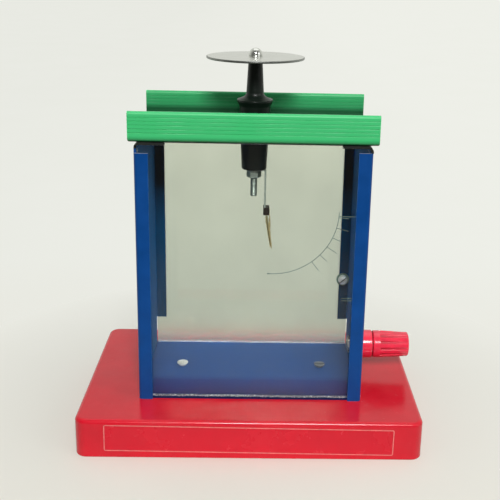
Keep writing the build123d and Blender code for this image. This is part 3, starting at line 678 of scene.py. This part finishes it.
class ELECTROSCOPE_OT_windows(bpy.types.Operator):
    """Model the sawn and chipped front window and the rear one's chipped foot, and frost the rear one"""
    bl_idname = "electroscope.windows"
    bl_label = "Windows"

    def execute(self, context):
        self.build_front_pane()
        self.build_rear_foot()
        self.frost_rear_window()
        return {"FINISHED"}

    def build_front_pane(self):
        """The front window with a raised middle, bevelled shoulders and a chipped foot."""
        low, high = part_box("front_window")
        chip, neck = sizes().pane_chip, sizes().pane_neck / 2
        shoulder = high.z - sizes().pane_raise
        sawn_rows = (0.0004, 0.0009)
        chipped_height = 0.001
        pane = add_block("front_pane", low, (high.x, high.y, shoulder))
        edit_piece(pane, "EDGE")
        select_edges(pane, lambda a, b: abs(a.x - b.x) < TOLERANCE and abs(a.z - b.z) < TOLERANCE
                     and a.z > shoulder - TOLERANCE)
        bpy.ops.mesh.bevel(offset=sizes().pane_corner, segments=1)
        cut_across(ALONG_X, (-neck, neck))
        bpy.ops.mesh.select_mode(type="FACE")
        select_faces(pane, lambda middle, normal: normal.z > 0.9 and abs(middle.x) < neck)
        bpy.ops.mesh.extrude_region_move(TRANSFORM_OT_translate={"value": (0, 0, high.z - shoulder)})
        cut_across(ALONG_X, evenly(low.x, high.x, 96))
        cut_across(ALONG_Z, [low.z + row for row in sawn_rows])

        def chipped(place):
            """Chips the front edge of the sawn foot."""
            nick = noise.noise(Vector((place.x * 2400, place.y * 900, 4.0)))
            if place.y > low.y + TOLERANCE or place.z > low.z + chipped_height:
                return 0, 0, 0
            if place.z < low.z + TOLERANCE:
                return 0, chip * (0.4 + nick), chip * abs(nick)
            return 0, 0, chip * nick

        move_points(pane, chipped)
        for face in pane.data.polygons:
            sawn = abs(face.normal.y) < 0.999 or face.center.z < low.z + sawn_rows[0]
            face.material_index = 1 if sawn else 0
        finishes = (self.clear_finish(), self.sawn_finish())
        finish_piece(pane, "case", finishes, ("front_window",))

    def clear_finish(self):
        """Clear sheet with a film of dust and fine scuffs."""
        material, tree = new_finish("clear_window_finish", Transmission_Weight=1.0, IOR=1.35)
        dusty = (0.8, 0.82, 0.76)
        film = shared(tree, DUST, object_place(tree), Scale=300.0, Amount=0.5)
        scuffs = shared(tree, HAIRLINES, object_place(tree), Scale=260.0)
        feed(tree, Base_Color=mix_colours(tree, multiply(tree, film, 0.25), colours().pane_tint, dusty),
             Roughness=calculate(tree, "ADD", multiply(tree, film, 0.06), multiply(tree, scuffs, 0.02)))
        pass_light(tree)
        return material

    def sawn_finish(self):
        """Sawn edge of the clear sheet, with painted glints and painted shade by turns along the teeth of the
        saw.
        """
        material, tree = new_finish("sawn_edge_finish", Transmission_Weight=0.35, IOR=1.49)
        shaded_hollow, glinting_crest = (0.1, 0.11, 0.13), (0.9, 0.9, 0.88)
        teeth = shared(tree, GRAIN, object_place(tree), Scale=1500.0, Stretch=(1.0, 0.3, 1.0))
        # Painted glints on the crests and painted shade in the hollows.
        feed(tree, Base_Color=mix_colours(tree, remap(tree, teeth, 0.5, 0.7), shaded_hollow, glinting_crest),
             Roughness=remap(tree, teeth, NOISE_LOW, NOISE_HIGH, 0.25, 0.7),
             Normal=raise_surface(tree, teeth, 0.8, 0.0003))
        pass_light(tree)
        return material

    def frost_rear_window(self):
        """Sheet with a frosted back, with painted shade greying it further down and a painted tint at its
        foot against the red light of the base behind it, clearer on the rear flanges.
        """
        low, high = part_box("rear_window")
        flange_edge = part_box("case_right_side")[1].x - sizes().rear_flange
        flange_foot = low.z + sizes().flange_start
        edge_blur, skin = 0.0002, 0.0005
        tint, lower_shade_grey = colours().frost_tint, (0.3, 0.36, 0.36)
        foot_light_tint, dusty = (0.58, 1.0, 1.0), (0.74, 0.75, 0.68)
        grey_start, grey_full = 0.145, 0.05
        foot_start, foot_full = low.z + 0.006, low.z + 0.0008
        material, tree = new_finish("frosted_window_finish", Transmission_Weight=1.0, IOR=1.45)
        place = object_place(tree)
        height = place_along(tree, "Z")
        mottle = remap(tree, shared(tree, GRAIN, place, Scale=26.0), 0.35, 0.65)
        feed(tree, Base_Color=mix_colours(tree, mottle, shade(tint, 0.97), shade(tint, 1.05)))
        # Painted shade, greying the sheet further down.
        paint_over(tree, remap(tree, height, grey_start, grey_full, 0.0, 0.3), lower_shade_grey)
        # Painted tint at the foot, offsetting the red light of the base behind it.
        paint_over(tree, remap(tree, height, foot_start, foot_full), foot_light_tint)
        haze = shared(tree, DUST, place, Scale=240.0, Amount=0.5)
        paint_over(tree, multiply(tree, haze, 0.3), dusty)

        frosting = remap(tree, place_along(tree, "Y"), low.y + skin, high.y - skin)
        speckle = remap(tree, shared(tree, GRAIN, place, Scale=1400.0), NOISE_LOW, NOISE_HIGH, 0.8, 0.95)
        side = distance_from(tree, place_along(tree, "X"))
        pressed = multiply(tree, remap(tree, side, flange_edge - edge_blur, flange_edge + edge_blur),
                           remap(tree, height, flange_foot - edge_blur, flange_foot + edge_blur))
        feed(tree, Roughness=multiply(tree, multiply(tree, frosting, speckle),
                                      remap(tree, pressed, 0.0, 1.0, 1.0, 0.15)))
        pass_light(tree)
        dress(material, "rear_window")

    def build_rear_foot(self):
        """The chipped white foot of the rear window, a thin ragged band on its front face."""
        low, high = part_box("rear_window")
        depth, height = sizes().pane_chip, sizes().rear_foot
        foot = add_block("rear_pane_foot", (low.x, low.y - depth, low.z), (high.x, low.y, low.z + height))
        edit_piece(foot, "EDGE")
        cut_across(ALONG_X, evenly(low.x, high.x, 120))

        def ragged(place):
            """Roughens the front and the top of the band."""
            rough = noise.noise(Vector((place.x * 1900, 0, 8.0)))
            back = depth * 0.5 * abs(rough) if place.y < low.y - depth / 2 else 0
            up = height * (0.4 * rough - 0.1) if place.z > low.z + height / 2 else 0
            return 0, back, up

        move_points(foot, ragged)
        chalky = plastic_finish("rear_foot_finish", colours().foot_white, dust=0.1, roughness=(0.5, 0.7),
                                grain_scale=900.0, variation=0.25)
        finish_piece(foot, "case", (chalky,))


class ELECTROSCOPE_OT_scale(bpy.types.Operator):
    """Model the quadrant scale marked on the front window"""
    bl_idname = "electroscope.scale"
    bl_label = "Scale"

    def execute(self, context):
        line, radius, tick = sizes().scale_line, sizes().scale_radius, sizes().scale_tick
        ink_depth, clearance = 0.00003, 0.00001
        centre = Vector((0.0084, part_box("front_window")[0].y - clearance, 0.1056))
        start, sweep = radians(-3.0), radians(93.0)
        first_mark, between_marks = 85.0, 9.5
        blot_length, blot_width = 0.0009, 0.0006
        line_end, short_line = 0.0433, 0.0043
        level_lines = ((0.1037, radius * 0.99 + centre.x), (0.0667, line_end - short_line),
                       (0.0656, line_end - short_line))

        def on_arc(angle, reach):
            """The place at an angle from straight down and a distance from the centre of the arc."""
            return centre + Vector((sin(angle) * reach, 0, -cos(angle) * reach))

        def draw_line(middle, length, width, turn=0.0):
            """Adds a straight line of ink."""
            bpy.ops.mesh.primitive_cube_add(size=1.0, location=middle, rotation=(0, turn, 0),
                                            scale=(length, ink_depth, width))

        begin_piece()
        bpy.ops.mesh.primitive_plane_add(size=1.0, location=on_arc(start, radius))
        scale = settle_new("quadrant_scale", rotation_euler=(0, pi / 2 - start, 0),
                           scale=(line, ink_depth, 1.0))
        edit_piece(scale, "FACE", "SELECT")
        bpy.ops.mesh.spin(steps=62, angle=sweep, center=centre, axis=(0, 1, 0))
        for index in range(sizes().scale_divisions):
            angle = radians(first_mark - between_marks * index)
            reach = tick * (1.25 if index % 2 else 1.0)
            draw_line(on_arc(angle, radius + reach / 2), reach, line * 0.9, pi / 2 - angle)
        for height, line_start in level_lines:
            draw_line(((line_start + line_end) / 2, centre.y, height), line_end - line_start, line)
        draw_line(on_arc(start, radius), blot_length, blot_width)
        bpy.ops.mesh.select_all(action="SELECT")
        bpy.ops.mesh.normals_make_consistent(inside=False)
        begin_piece()
        ink = plastic_finish("scale_line_finish", colours().scale_ink, dust=0.3,
                             dust_colour=(0.42, 0.53, 0.49), roughness=(0.4, 0.6), grain_scale=700.0,
                             variation=0.4)
        finish_piece(scale, "case", (ink,))
        return {"FINISHED"}


class ELECTROSCOPE_OT_fasteners(bpy.types.Operator):
    """Finish the floor screws, their nuts and the pane washer, and model the slotted pane screw"""
    bl_idname = "electroscope.fasteners"
    bl_label = "Fasteners"

    def execute(self, context):
        fine = {"grain_scale": 900.0, "scratch_scale": 3000.0}
        steel = metal_finish("screw_steel_finish", colours().zinc, metallic=0.6, roughness=(0.34, 0.55),
                             tarnish=0.4, **fine)
        tree = steel.node_tree
        # The right floor screw is shown darker than the left.
        right_screw_dark = (0.02, 0.03, 0.07)
        right_screw = remap(tree, place_along(tree, "X"), -0.001, 0.001, 0.0, 0.8)
        paint_over(tree, right_screw, right_screw_dark)
        dress(steel, "floor_screws", "floor_nuts")
        zinc = metal_finish("pane_screw_finish", colours().zinc, metallic=0.5, roughness=(0.4, 0.55),
                            tarnish=0.2, tarnish_colour=(0.4, 0.4, 0.37), **fine)
        self.shade_slot(zinc.node_tree)
        self.build_pane_screw(zinc)
        dull = metal_finish("pane_washer_finish", colours().dull_zinc, metallic=0.5, roughness=(0.4, 0.55),
                            tarnish=0.4, **fine)
        dress(dull, "pane_washer")
        return {"FINISHED"}

    def build_pane_screw(self, zinc):
        """The pan-headed screw of the rear window, its slot rising towards the terminal side."""
        low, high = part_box("pane_screw")
        chosen = sizes()
        middle, radius = (low + high) / 2, (high.x - low.x) / 2
        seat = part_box("pane_washer")[0].y
        begin_piece()
        bpy.ops.mesh.primitive_cylinder_add(vertices=48, radius=radius, depth=seat - low.y,
                                            location=(middle.x, (low.y + seat) / 2, middle.z))
        screw = settle_new("slotted_screw", rotation_euler=(pi / 2, 0, 0))
        edit_piece(screw, "EDGE")
        select_edges(screw, lambda a, b: max(a.y, b.y) < low.y + TOLERANCE)
        bpy.ops.mesh.bevel(offset=chosen.screw_head_edge, segments=5)
        bpy.ops.mesh.select_mode(type="FACE")
        select_faces(screw, lambda place, normal: normal.y > 0.9)
        bpy.ops.mesh.inset(thickness=radius - chosen.screw_shank / 2, depth=0.0)
        bpy.ops.mesh.extrude_region_move(TRANSFORM_OT_translate={"value": (0, high.y - seat, 0)})
        begin_piece()
        bpy.ops.mesh.primitive_cube_add(size=1.0, location=(middle.x, low.y, middle.z))
        cutter = settle_new("slot_cutter", rotation_euler=(0, -chosen.screw_slot_angle, 0),
                            scale=(radius * 3, chosen.screw_slot_depth * 2, chosen.screw_slot_width))
        use_modifier(screw, "slot", "BOOLEAN", object=cutter, operation="DIFFERENCE", solver="EXACT")
        bpy.data.objects.remove(cutter)
        smooth(screw)
        finish_piece(screw, "case", (zinc,), ("pane_screw",))

    def shade_slot(self, tree):
        """Painted shade in the slot of the pane screw."""
        slot_start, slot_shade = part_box("pane_screw")[0].y + 0.0004, (0.14, 0.15, 0.14)
        below_top = remap(tree, place_along(tree, "Y"), slot_start, slot_start + 0.0002)
        slot = multiply(tree, below_top, remap(tree, facing_along(tree, "Y"), -0.9, -0.95))
        paint_over(tree, slot, slot_shade)


class ELECTROSCOPE_OT_tray(bpy.types.Operator):
    """Finish the tray in satin green with lengthwise drawing marks"""
    bl_idname = "electroscope.tray"
    bl_label = "Tray"

    def execute(self, context):
        material = plastic_finish("green_tray_finish", colours().tray_green, dust=0.04,
                                  dust_colour=(0.6, 0.85, 0.68), roughness=(0.3, 0.48), specular=0.35,
                                  stretch=(0.003, 1.0, 1.0), grain_scale=420.0, variation=0.04,
                                  ripple=0.000006, worn=0.00018, worn_scale=60.0,
                                  worn_colour=(0.3, 0.76, 0.46))
        self.shade_channel(material.node_tree)
        dress(material, "lid_tray")
        return {"FINISHED"}

    def shade_channel(self, tree):
        """Painted shade inside the channel and, more faintly, along its rounded feet and bottom edge."""
        low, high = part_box("lid_tray")
        half = (high.y - low.y) / 2
        wall, channel_floor, foot_top = half - 0.0016, low.z + 0.002, low.z + 0.003
        corner_start, corner_full = high.z - 0.0062, high.z - 0.0082
        edge_start, edge_full = low.z + 0.0012, low.z + 0.0004
        recess_shade, deep_recess_shade = (0.008, 0.13, 0.05), (0.0015, 0.075, 0.022)
        height = place_along(tree, "Z")
        across = distance_from(tree, place_along(tree, "Y"), low.y + half)
        inside = remap(tree, across, wall, wall - 0.0006)
        deep = multiply(tree, inside, remap(tree, height, high.z, channel_floor, 0.22, 0.8))
        foot = remap(tree, height, foot_top, low.z, 0.0, 0.45)
        # Painted shade, deeper down the channel and along the feet.
        paint_over(tree, calculate(tree, "MAXIMUM", deep, foot), recess_shade)
        # Deeper painted shade low in the channel corner and at the bottom edge.
        corner = multiply(tree, inside, remap(tree, height, corner_start, corner_full, 0.0, 0.9))
        edge = remap(tree, height, edge_start, edge_full, 0.0, 0.85)
        paint_over(tree, calculate(tree, "MAXIMUM", corner, edge), deep_recess_shade)


class ELECTROSCOPE_OT_stopper(bpy.types.Operator):
    """Finish the stopper in near-black turned plastic"""
    bl_idname = "electroscope.stopper"
    bl_label = "Stopper"

    def execute(self, context):
        material = plastic_finish("black_insulator_finish", colours().stopper_black, dust=0.03,
                                  dust_scale=900.0, dust_colour=(0.35, 0.38, 0.34), roughness=(0.3, 0.42),
                                  specular=0.3, stretch=(0.1, 0.1, 1.0), grain_scale=900.0, variation=0.3,
                                  ripple=0.00003, worn=0.0003, worn_colour=(0.08, 0.08, 0.075))
        dress(material, "insulator_stopper")
        return {"FINISHED"}


class ELECTROSCOPE_OT_conductor(bpy.types.Operator):
    """Model the threaded rod and the twisted strip, and finish the metal of the conductor"""
    bl_idname = "electroscope.conductor"
    bl_label = "Conductor"

    def execute(self, context):
        # The green cast of the steel is a painted reflection of the tray.
        steel = metal_finish("rod_metal_finish", colours().steel, roughness=(0.42, 0.55), grain_scale=500.0,
                             scratch_scale=2500.0, tarnish=0.2)
        self.build_rod(steel)
        dress(steel, "leaf_hanger", "lower_washer", "lower_nut")
        bright = metal_finish("plate_chrome_finish", colours().bright_metal, roughness=(0.06, 0.14),
                              grain_scale=120.0, scratch_scale=2600.0, scratch_depth=0.000004, tarnish=0.12,
                              tarnish_colour=(0.35, 0.35, 0.33))
        dress(bright, "ball_nut")
        self.finish_plate(bright.copy())
        clamp = metal_finish("clamp_metal_finish", colours().clamp_metal, roughness=(0.35, 0.55), tarnish=0.6,
                             grain_scale=900.0, scratch_scale=2500.0, tarnish_colour=(0.02, 0.015, 0.012))
        dress(clamp, "leaf_clamp")
        brass = metal_finish("strip_brass_finish", colours().brass, roughness=(0.3, 0.5), grain_scale=700.0,
                             scratch_scale=2500.0, tarnish=0.6, tarnish_colour=(0.1, 0.07, 0.04))
        self.build_strip(brass)
        return {"FINISHED"}

    def build_rod(self, steel):
        """The rod with its thread, which starts at the foot and runs up to the hanger."""
        low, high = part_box("conductor_rod")
        thread_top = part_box("leaf_hanger")[1].z
        pitch, depth = sizes().thread_pitch, sizes().thread_depth
        middle, radius = (low + high) / 2, (high.x - low.x) / 2
        cuts_per_turn, end_chamfer = 6, 0.0002
        begin_piece()
        bpy.ops.mesh.primitive_cylinder_add(vertices=32, radius=radius, depth=high.z - low.z, location=middle)
        rod = settle_new("threaded_rod")
        edit_piece(rod, "EDGE")
        cut_across(ALONG_Z, [thread_top])
        select_edges(rod, lambda a, b: abs(a.z - b.z) > TOLERANCE
                     and max(a.z, b.z) < thread_top + TOLERANCE)
        bpy.ops.mesh.subdivide(number_cuts=cuts_per_turn * int((thread_top - low.z) / pitch))
        select_faces(rod, lambda place, normal: abs(normal.z) > 0.9)
        bpy.ops.mesh.inset(thickness=end_chamfer, depth=0.0)

        def thread(place):
            """Winds a groove round the rod and thins its foot."""
            away = Vector((place.x - middle.x, place.y - middle.y, 0))
            if place.z > thread_top - pitch / 2 or away.length < radius * 0.95:
                return 0, 0, 0
            turn = (place.z / pitch - atan2(away.y, away.x) / (2 * pi)) % 1.0
            groove = depth * abs(2 * turn - 1)
            start = max(0.0, 1.0 - (place.z - low.z) / (2 * pitch)) * depth
            return away.normalized() * -max(groove, start)

        move_points(rod, thread)
        smooth(rod)
        finish_piece(rod, "conductor", (steel,), ("conductor_rod",))

    def finish_plate(self, bright):
        """The bright metal of the plate, less glossy than the ball, with painted shade and a painted dark
        reflection on its rim.
        """
        bright.name = "plate_finish"
        low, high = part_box("charge_disc")
        radius = (high.x - low.x) / 2
        rim_start, rim_full, rim_shade, wear = radius - 0.00045, radius - 0.0002, (0.05, 0.06, 0.055), 0.2
        tree = bright.node_tree
        away = combine(tree, "LENGTH", reach_from(tree, (low + high) / 2, (1.0, 1.0, 0.0)))["Value"]
        # Painted shade and dark reflection along the rim.
        paint_over(tree, remap(tree, away, rim_start, rim_full, 0.0, 0.7), rim_shade)
        feed(tree, Roughness=calculate(tree, "ADD", fed(tree, "Roughness"), wear))
        dress(bright, "charge_disc")

    def build_strip(self, brass):
        """The fixed strip, leaning and a little twisted below the clamp."""
        low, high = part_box("fixed_strip")
        clamp_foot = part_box("leaf_clamp")[0].z
        thickness, twist, wave_depth = sizes().strip_thickness, sizes().strip_twist, 0.00006
        strip = add_block("twisted_strip", low, (low.x + thickness, high.y, high.z))
        edit_piece(strip, "EDGE")
        cut_across(ALONG_Z, evenly(low.z, high.z, 40))
        free = clamp_foot - low.z
        lean = (high.x - low.x - thickness) / free
        middle_y = (low.y + high.y) / 2

        def hang(place):
            """Leans, twists and waves the strip below its clamp."""
            down = max(0.0, clamp_foot - place.z)
            share = down / free
            onset = min(1.0, share * 8.0)
            turn = twist * onset * (1.0 - 0.7 * share)
            wave = wave_depth * noise.noise(Vector((place.y * 500, place.z * 350, 2.0))) * onset
            return lean * down + (place.y - middle_y) * sin(turn) + wave, 0, 0

        move_points(strip, hang)
        smooth(strip)
        finish_piece(strip, "conductor", (brass,), ("fixed_strip",))


class ELECTROSCOPE_OT_leaf(bpy.types.Operator):
    """Model the creased gold leaf and its folded end on the clamp"""
    bl_idname = "electroscope.leaf"
    bl_label = "Gold Leaf"

    def execute(self, context):
        pivot = Vector(next(joint["pos_m"] for joint in frame["joints"] if joint["name"] == "leaf_swing"))
        gold = metal_finish("leaf_gold_finish", colours().gold, roughness=(0.16, 0.34), grain_scale=1200.0,
                            scratch_scale=4000.0, scratch_depth=0.00003, tarnish=0.3,
                            tarnish_colour=(0.3, 0.17, 0.06))
        self.build_leaf(pivot, gold)
        self.build_folded_end(pivot, gold)
        return {"FINISHED"}

    def build_leaf(self, pivot, gold):
        """The hanging leaf, bowed, twisted, creased and frayed at its sides."""
        low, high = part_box("gold_leaf")
        length, width = pivot.z - low.z, high.y - low.y
        margin, fray = 0.00008, 0.00018
        foot = high.x - margin - pivot.x
        crinkle, bow_depth, twist = sizes().leaf_crinkle, sizes().leaf_bow, sizes().leaf_twist
        begin_piece()
        bpy.ops.mesh.primitive_grid_add(x_subdivisions=12, y_subdivisions=60, size=1.0,
                                        location=(pivot.x, pivot.y, pivot.z - length / 2))
        leaf = settle_new("creased_leaf", scale=(width, length, 1.0), rotation_euler=(pi / 2, 0, pi / 2))

        def crease(place):
            """Bows, creases and twists the leaf and frays its sides."""
            down = (pivot.z - place.z) / length
            across = (place.y - pivot.y) / width
            bow = foot * down - bow_depth * sin(pi * down)
            folds = (noise.noise(Vector((across * 3.0, down * 14.0, 1.5)))
                     + 0.5 * noise.noise(Vector((across * 9.0, down * 40.0, 7.0))))
            ragged = fray * noise.noise(Vector((down * 22.0, 3.0 if across > 0 else 9.0, 0)))
            turn = twist * min(1.0, down * 8.0) * (1.0 - 0.75 * down)
            return (bow + crinkle * folds * min(1.0, down * 6.0) + (place.y - pivot.y) * sin(turn),
                    -abs(ragged) * (2 * across), 0)

        move_points(leaf, crease)
        use_modifier(leaf, "thickness", "SOLIDIFY", thickness=sizes().leaf_thickness, offset=0.0)
        smooth(leaf, 60.0)
        finish_piece(leaf, "leaf", (gold,), ("gold_leaf",))

    def build_folded_end(self, pivot, gold):
        """The end of the leaf, folded up against the side of the clamp, with a torn top."""
        low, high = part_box("gold_leaf")
        clamp_low, clamp_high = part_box("leaf_clamp")
        half_width = (high.y - low.y) * 0.46
        thickness, rounding, tear = 0.0002, 0.00006, 0.00025
        torn_height, end_height = 0.002, 0.0026
        end = add_block("leaf_end", (clamp_high.x, pivot.y - half_width, pivot.z),
                        (clamp_high.x + thickness, pivot.y + half_width, clamp_low.z + end_height))
        edit_piece(end, "EDGE", "SELECT")
        bpy.ops.mesh.bevel(offset=rounding, segments=2)
        bpy.ops.mesh.select_all(action="SELECT")
        bpy.ops.mesh.subdivide(number_cuts=3)

        def torn(place):
            """Roughens the top of the folded end."""
            return 0, 0, tear * noise.noise(place * 900) if place.z > clamp_low.z + torn_height else 0

        move_points(end, torn)
        smooth(end, 60.0)
        finish_piece(end, "conductor", (gold,))


class ELECTROSCOPE_OT_terminal(bpy.types.Operator):
    """Finish the terminal in shiny red plastic and nickel"""
    bl_idname = "electroscope.terminal"
    bl_label = "Terminal"

    def execute(self, context):
        red = plastic_finish("red_terminal_finish", colours().terminal_red, dust=0.03, coat=0.5,
                             roughness=(0.16, 0.24), grain_scale=200.0, ripple=0.00001, worn=0.00016,
                             worn_scale=120.0, worn_colour=(1.0, 0.26, 0.32))
        dress(red, "terminal_collar")
        self.finish_cap(red.copy())
        nickel = metal_finish("terminal_metal_finish", colours().nickel, roughness=(0.2, 0.36),
                              grain_scale=500.0, scratch_scale=2000.0)
        dress(nickel, "terminal_insert", "terminal_stud", "terminal_washer", "terminal_nut")
        return {"FINISHED"}

    def finish_cap(self, red):
        """The red plastic of the cap, with painted shade in its flutes."""
        red.name = "fluted_cap_finish"
        low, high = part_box("terminal_cap")
        radius = (high.z - low.z) / 2
        shallow, deep, recess_shade = 0.0001, 0.0006, (0.36, 0.003, 0.014)
        tree = red.node_tree
        away = combine(tree, "LENGTH", reach_from(tree, (low + high) / 2, (0.0, 1.0, 1.0)))["Value"]
        outside = remap(tree, place_along(tree, "X"), low.x + sizes().cap_smooth, high.x, radius,
                        radius - sizes().cap_taper)
        flute = remap(tree, calculate(tree, "SUBTRACT", outside, away), shallow, deep, 0.0, 0.7)
        side = remap(tree, facing_along(tree, "X"), 0.6, 0.4)
        # Painted shade in the flutes.
        paint_over(tree, multiply(tree, flute, side), recess_shade)
        dress(red, "terminal_cap")


def add_lamp(name, place, power, size, aim_height):
    """A square soft lamp that points at a height in the middle of the object."""
    lamp = bpy.data.lights.new(name, "AREA")
    lamp.shape, lamp.size, lamp.energy = "SQUARE", size, power
    holder = bpy.data.objects.new(name, lamp)
    bpy.context.scene.collection.objects.link(holder)
    holder.location = place
    holder.rotation_euler = (Vector((0, 0, aim_height)) - Vector(place)).to_track_quat("-Z", "Y").to_euler()


class ELECTROSCOPE_OT_stage(bpy.types.Operator):
    """Set the floor, the lamps, the room light and the camera"""
    bl_idname = "electroscope.stage"
    bl_label = "Stage"

    def execute(self, context):
        chosen = context.scene.electroscope_stage
        self.lay_floor(chosen)
        self.light_room(chosen)
        add_lamp("key_lamp", chosen.key_place, chosen.key_power, size=0.3, aim_height=0.1)
        add_lamp("fill_lamp", chosen.fill_place, chosen.fill_power, size=0.6, aim_height=0.08)
        add_lamp("top_lamp", chosen.top_place, chosen.top_power, size=0.8, aim_height=0.1)
        self.place_camera(chosen)
        return {"FINISHED"}

    def lay_floor(self, chosen):
        """The floor, lit near the object, glowing evenly further off and dark in front to what mirrors it."""
        begin_piece()
        bpy.ops.mesh.primitive_plane_add(size=24.0, location=(0, 0, 0))
        floor = settle_new("floor")
        near, far = chosen.floor_near, chosen.floor_far
        near_end, far_end = -0.15, 0.2
        left_end, right_end = -0.35, 0.25
        dim_start, dim_full = -0.12, -0.3
        lit_reach, glow_reach = 0.05, 0.17
        material, tree = new_finish("floor_finish", Roughness=0.8, Specular_IOR_Level=0.2)
        place, depth = object_place(tree), place_along(tree, "Y")
        backward = remap(tree, depth, near_end, far_end)
        right = mix_colours(tree, backward, near, far)
        left = mix_colours(tree, backward, shade(near, 0.96), shade(far, 0.95))
        level = mix_colours(tree, remap(tree, place_along(tree, "X"), left_end, right_end), left, right)
        tone = remap(tree, shared(tree, GRAIN, place, Scale=9.0), NOISE_LOW, NOISE_HIGH, 0.0, 0.05)
        patchy = mix_colours(tree, tone, level, (1.0, 1.0, 1.0))
        feed(tree, Base_Color=patchy)
        seen, mirrored = rays_of_sight(tree)
        glow = add_node(tree, "ShaderNodeEmission", {"Color": patchy, "Strength": seen})
        away = remap(tree, combine(tree, "LENGTH", place)["Value"], lit_reach, glow_reach)
        lit = mix_shaders(tree, away, tree.nodes[SHADER].outputs[0], glow.outputs[0])
        dim = multiply(tree, mirrored, remap(tree, depth, dim_start, dim_full, 0.0, 0.85))
        dark = add_node(tree, "ShaderNodeEmission", {"Strength": 0.0})
        show(tree, mix_shaders(tree, dim, lit, dark.outputs[0]))
        floor.data.materials.append(material)

    def light_room(self, chosen):
        """Even light from all round, in the far floor's colour, and dimmer in front to what mirrors it."""
        back_dimming, front_dimming = 0.08, 0.78
        world = bpy.data.worlds.new("room")
        bpy.context.scene.world = world
        world.use_nodes = True
        tree = world.node_tree
        seen, mirrored = rays_of_sight(tree)
        heading = add_node(tree, "ShaderNodeSeparateXYZ",
                           {"Vector": add_node(tree, "ShaderNodeTexCoord").outputs["Generated"]}).outputs["Y"]
        dimming = multiply(tree, mirrored, remap(tree, heading, 0.5, -0.5, back_dimming, front_dimming))
        level = remap(tree, seen, 0.0, 1.0, chosen.sky_strength, 1.0)
        room = tree.nodes["Background"]
        room.inputs["Color"].default_value = (*chosen.floor_far, 1.0)
        tree.links.new(calculate(tree, "SUBTRACT", level, dimming), room.inputs["Strength"])

    def place_camera(self, chosen):
        """The camera at its place, tilted, turned and rolled."""
        down, turn, roll = chosen.camera_angles
        forward = Vector((-sin(turn) * cos(down), cos(turn) * cos(down), -sin(down)))
        right = Vector((cos(turn), sin(turn), 0))
        up = right.cross(forward)
        across = right * cos(roll) + up * sin(roll)
        upright = up * cos(roll) - right * sin(roll)
        camera = bpy.data.objects.new("camera", bpy.data.cameras.new("camera"))
        scene = bpy.context.scene
        scene.collection.objects.link(camera)
        turned = Matrix((across, upright, -forward)).transposed().to_4x4()
        camera.matrix_world = Matrix.Translation(chosen.camera_place) @ turned
        camera.data.lens = chosen.camera_lens
        camera.data.shift_x, camera.data.shift_y = chosen.camera_shift
        camera.data.clip_start, camera.data.clip_end = 0.01, 40.0
        scene.camera = camera
        scene.view_settings.view_transform = "Standard"


class VIEW3D_PT_electroscope(bpy.types.Panel):
    """Sizes, colours and steps of the electroscope"""
    bl_idname = "VIEW3D_PT_electroscope"
    bl_label = "Gold Leaf Electroscope"
    bl_space_type = "VIEW_3D"
    bl_region_type = "UI"
    bl_category = "Electroscope"

    def draw(self, context):
        layout = self.layout
        for title, group in (("Colours", context.scene.electroscope_colours),
                             ("Sizes", context.scene.electroscope_sizes),
                             ("Stage", context.scene.electroscope_stage)):
            box = layout.box()
            box.label(text=title)
            for name in group.__annotations__:
                box.prop(group, name)
        column = layout.column(align=True)
        for operator in OPERATORS:
            column.operator(operator.bl_idname)


PROPERTY_GROUPS = {"electroscope_colours": ElectroscopeColours, "electroscope_sizes": ElectroscopeSizes,
                   "electroscope_stage": ElectroscopeStage}
OPERATORS = (ELECTROSCOPE_OT_base, ELECTROSCOPE_OT_label, ELECTROSCOPE_OT_case, ELECTROSCOPE_OT_windows,
             ELECTROSCOPE_OT_scale, ELECTROSCOPE_OT_fasteners, ELECTROSCOPE_OT_tray, ELECTROSCOPE_OT_stopper,
             ELECTROSCOPE_OT_conductor, ELECTROSCOPE_OT_leaf, ELECTROSCOPE_OT_terminal, ELECTROSCOPE_OT_stage)


def register():
    """Registers the settings, the operators and the panel."""
    for name, group in PROPERTY_GROUPS.items():
        bpy.utils.register_class(group)
        setattr(bpy.types.Scene, name, PointerProperty(type=group))
    for kind in (*OPERATORS, VIEW3D_PT_electroscope):
        bpy.utils.register_class(kind)


def unregister():
    """Removes what register added."""
    for kind in (VIEW3D_PT_electroscope, *reversed(OPERATORS)):
        bpy.utils.unregister_class(kind)
    for name, group in PROPERTY_GROUPS.items():
        delattr(bpy.types.Scene, name)
        bpy.utils.unregister_class(group)


def main():
    """Runs each step in order."""
    register()
    bpy.ops.electroscope.base()
    bpy.ops.electroscope.label()
    bpy.ops.electroscope.case()
    bpy.ops.electroscope.windows()
    bpy.ops.electroscope.scale()
    bpy.ops.electroscope.fasteners()
    bpy.ops.electroscope.tray()
    bpy.ops.electroscope.stopper()
    bpy.ops.electroscope.conductor()
    bpy.ops.electroscope.leaf()
    bpy.ops.electroscope.terminal()
    bpy.ops.electroscope.stage()


if __name__ == "__main__":
    main()
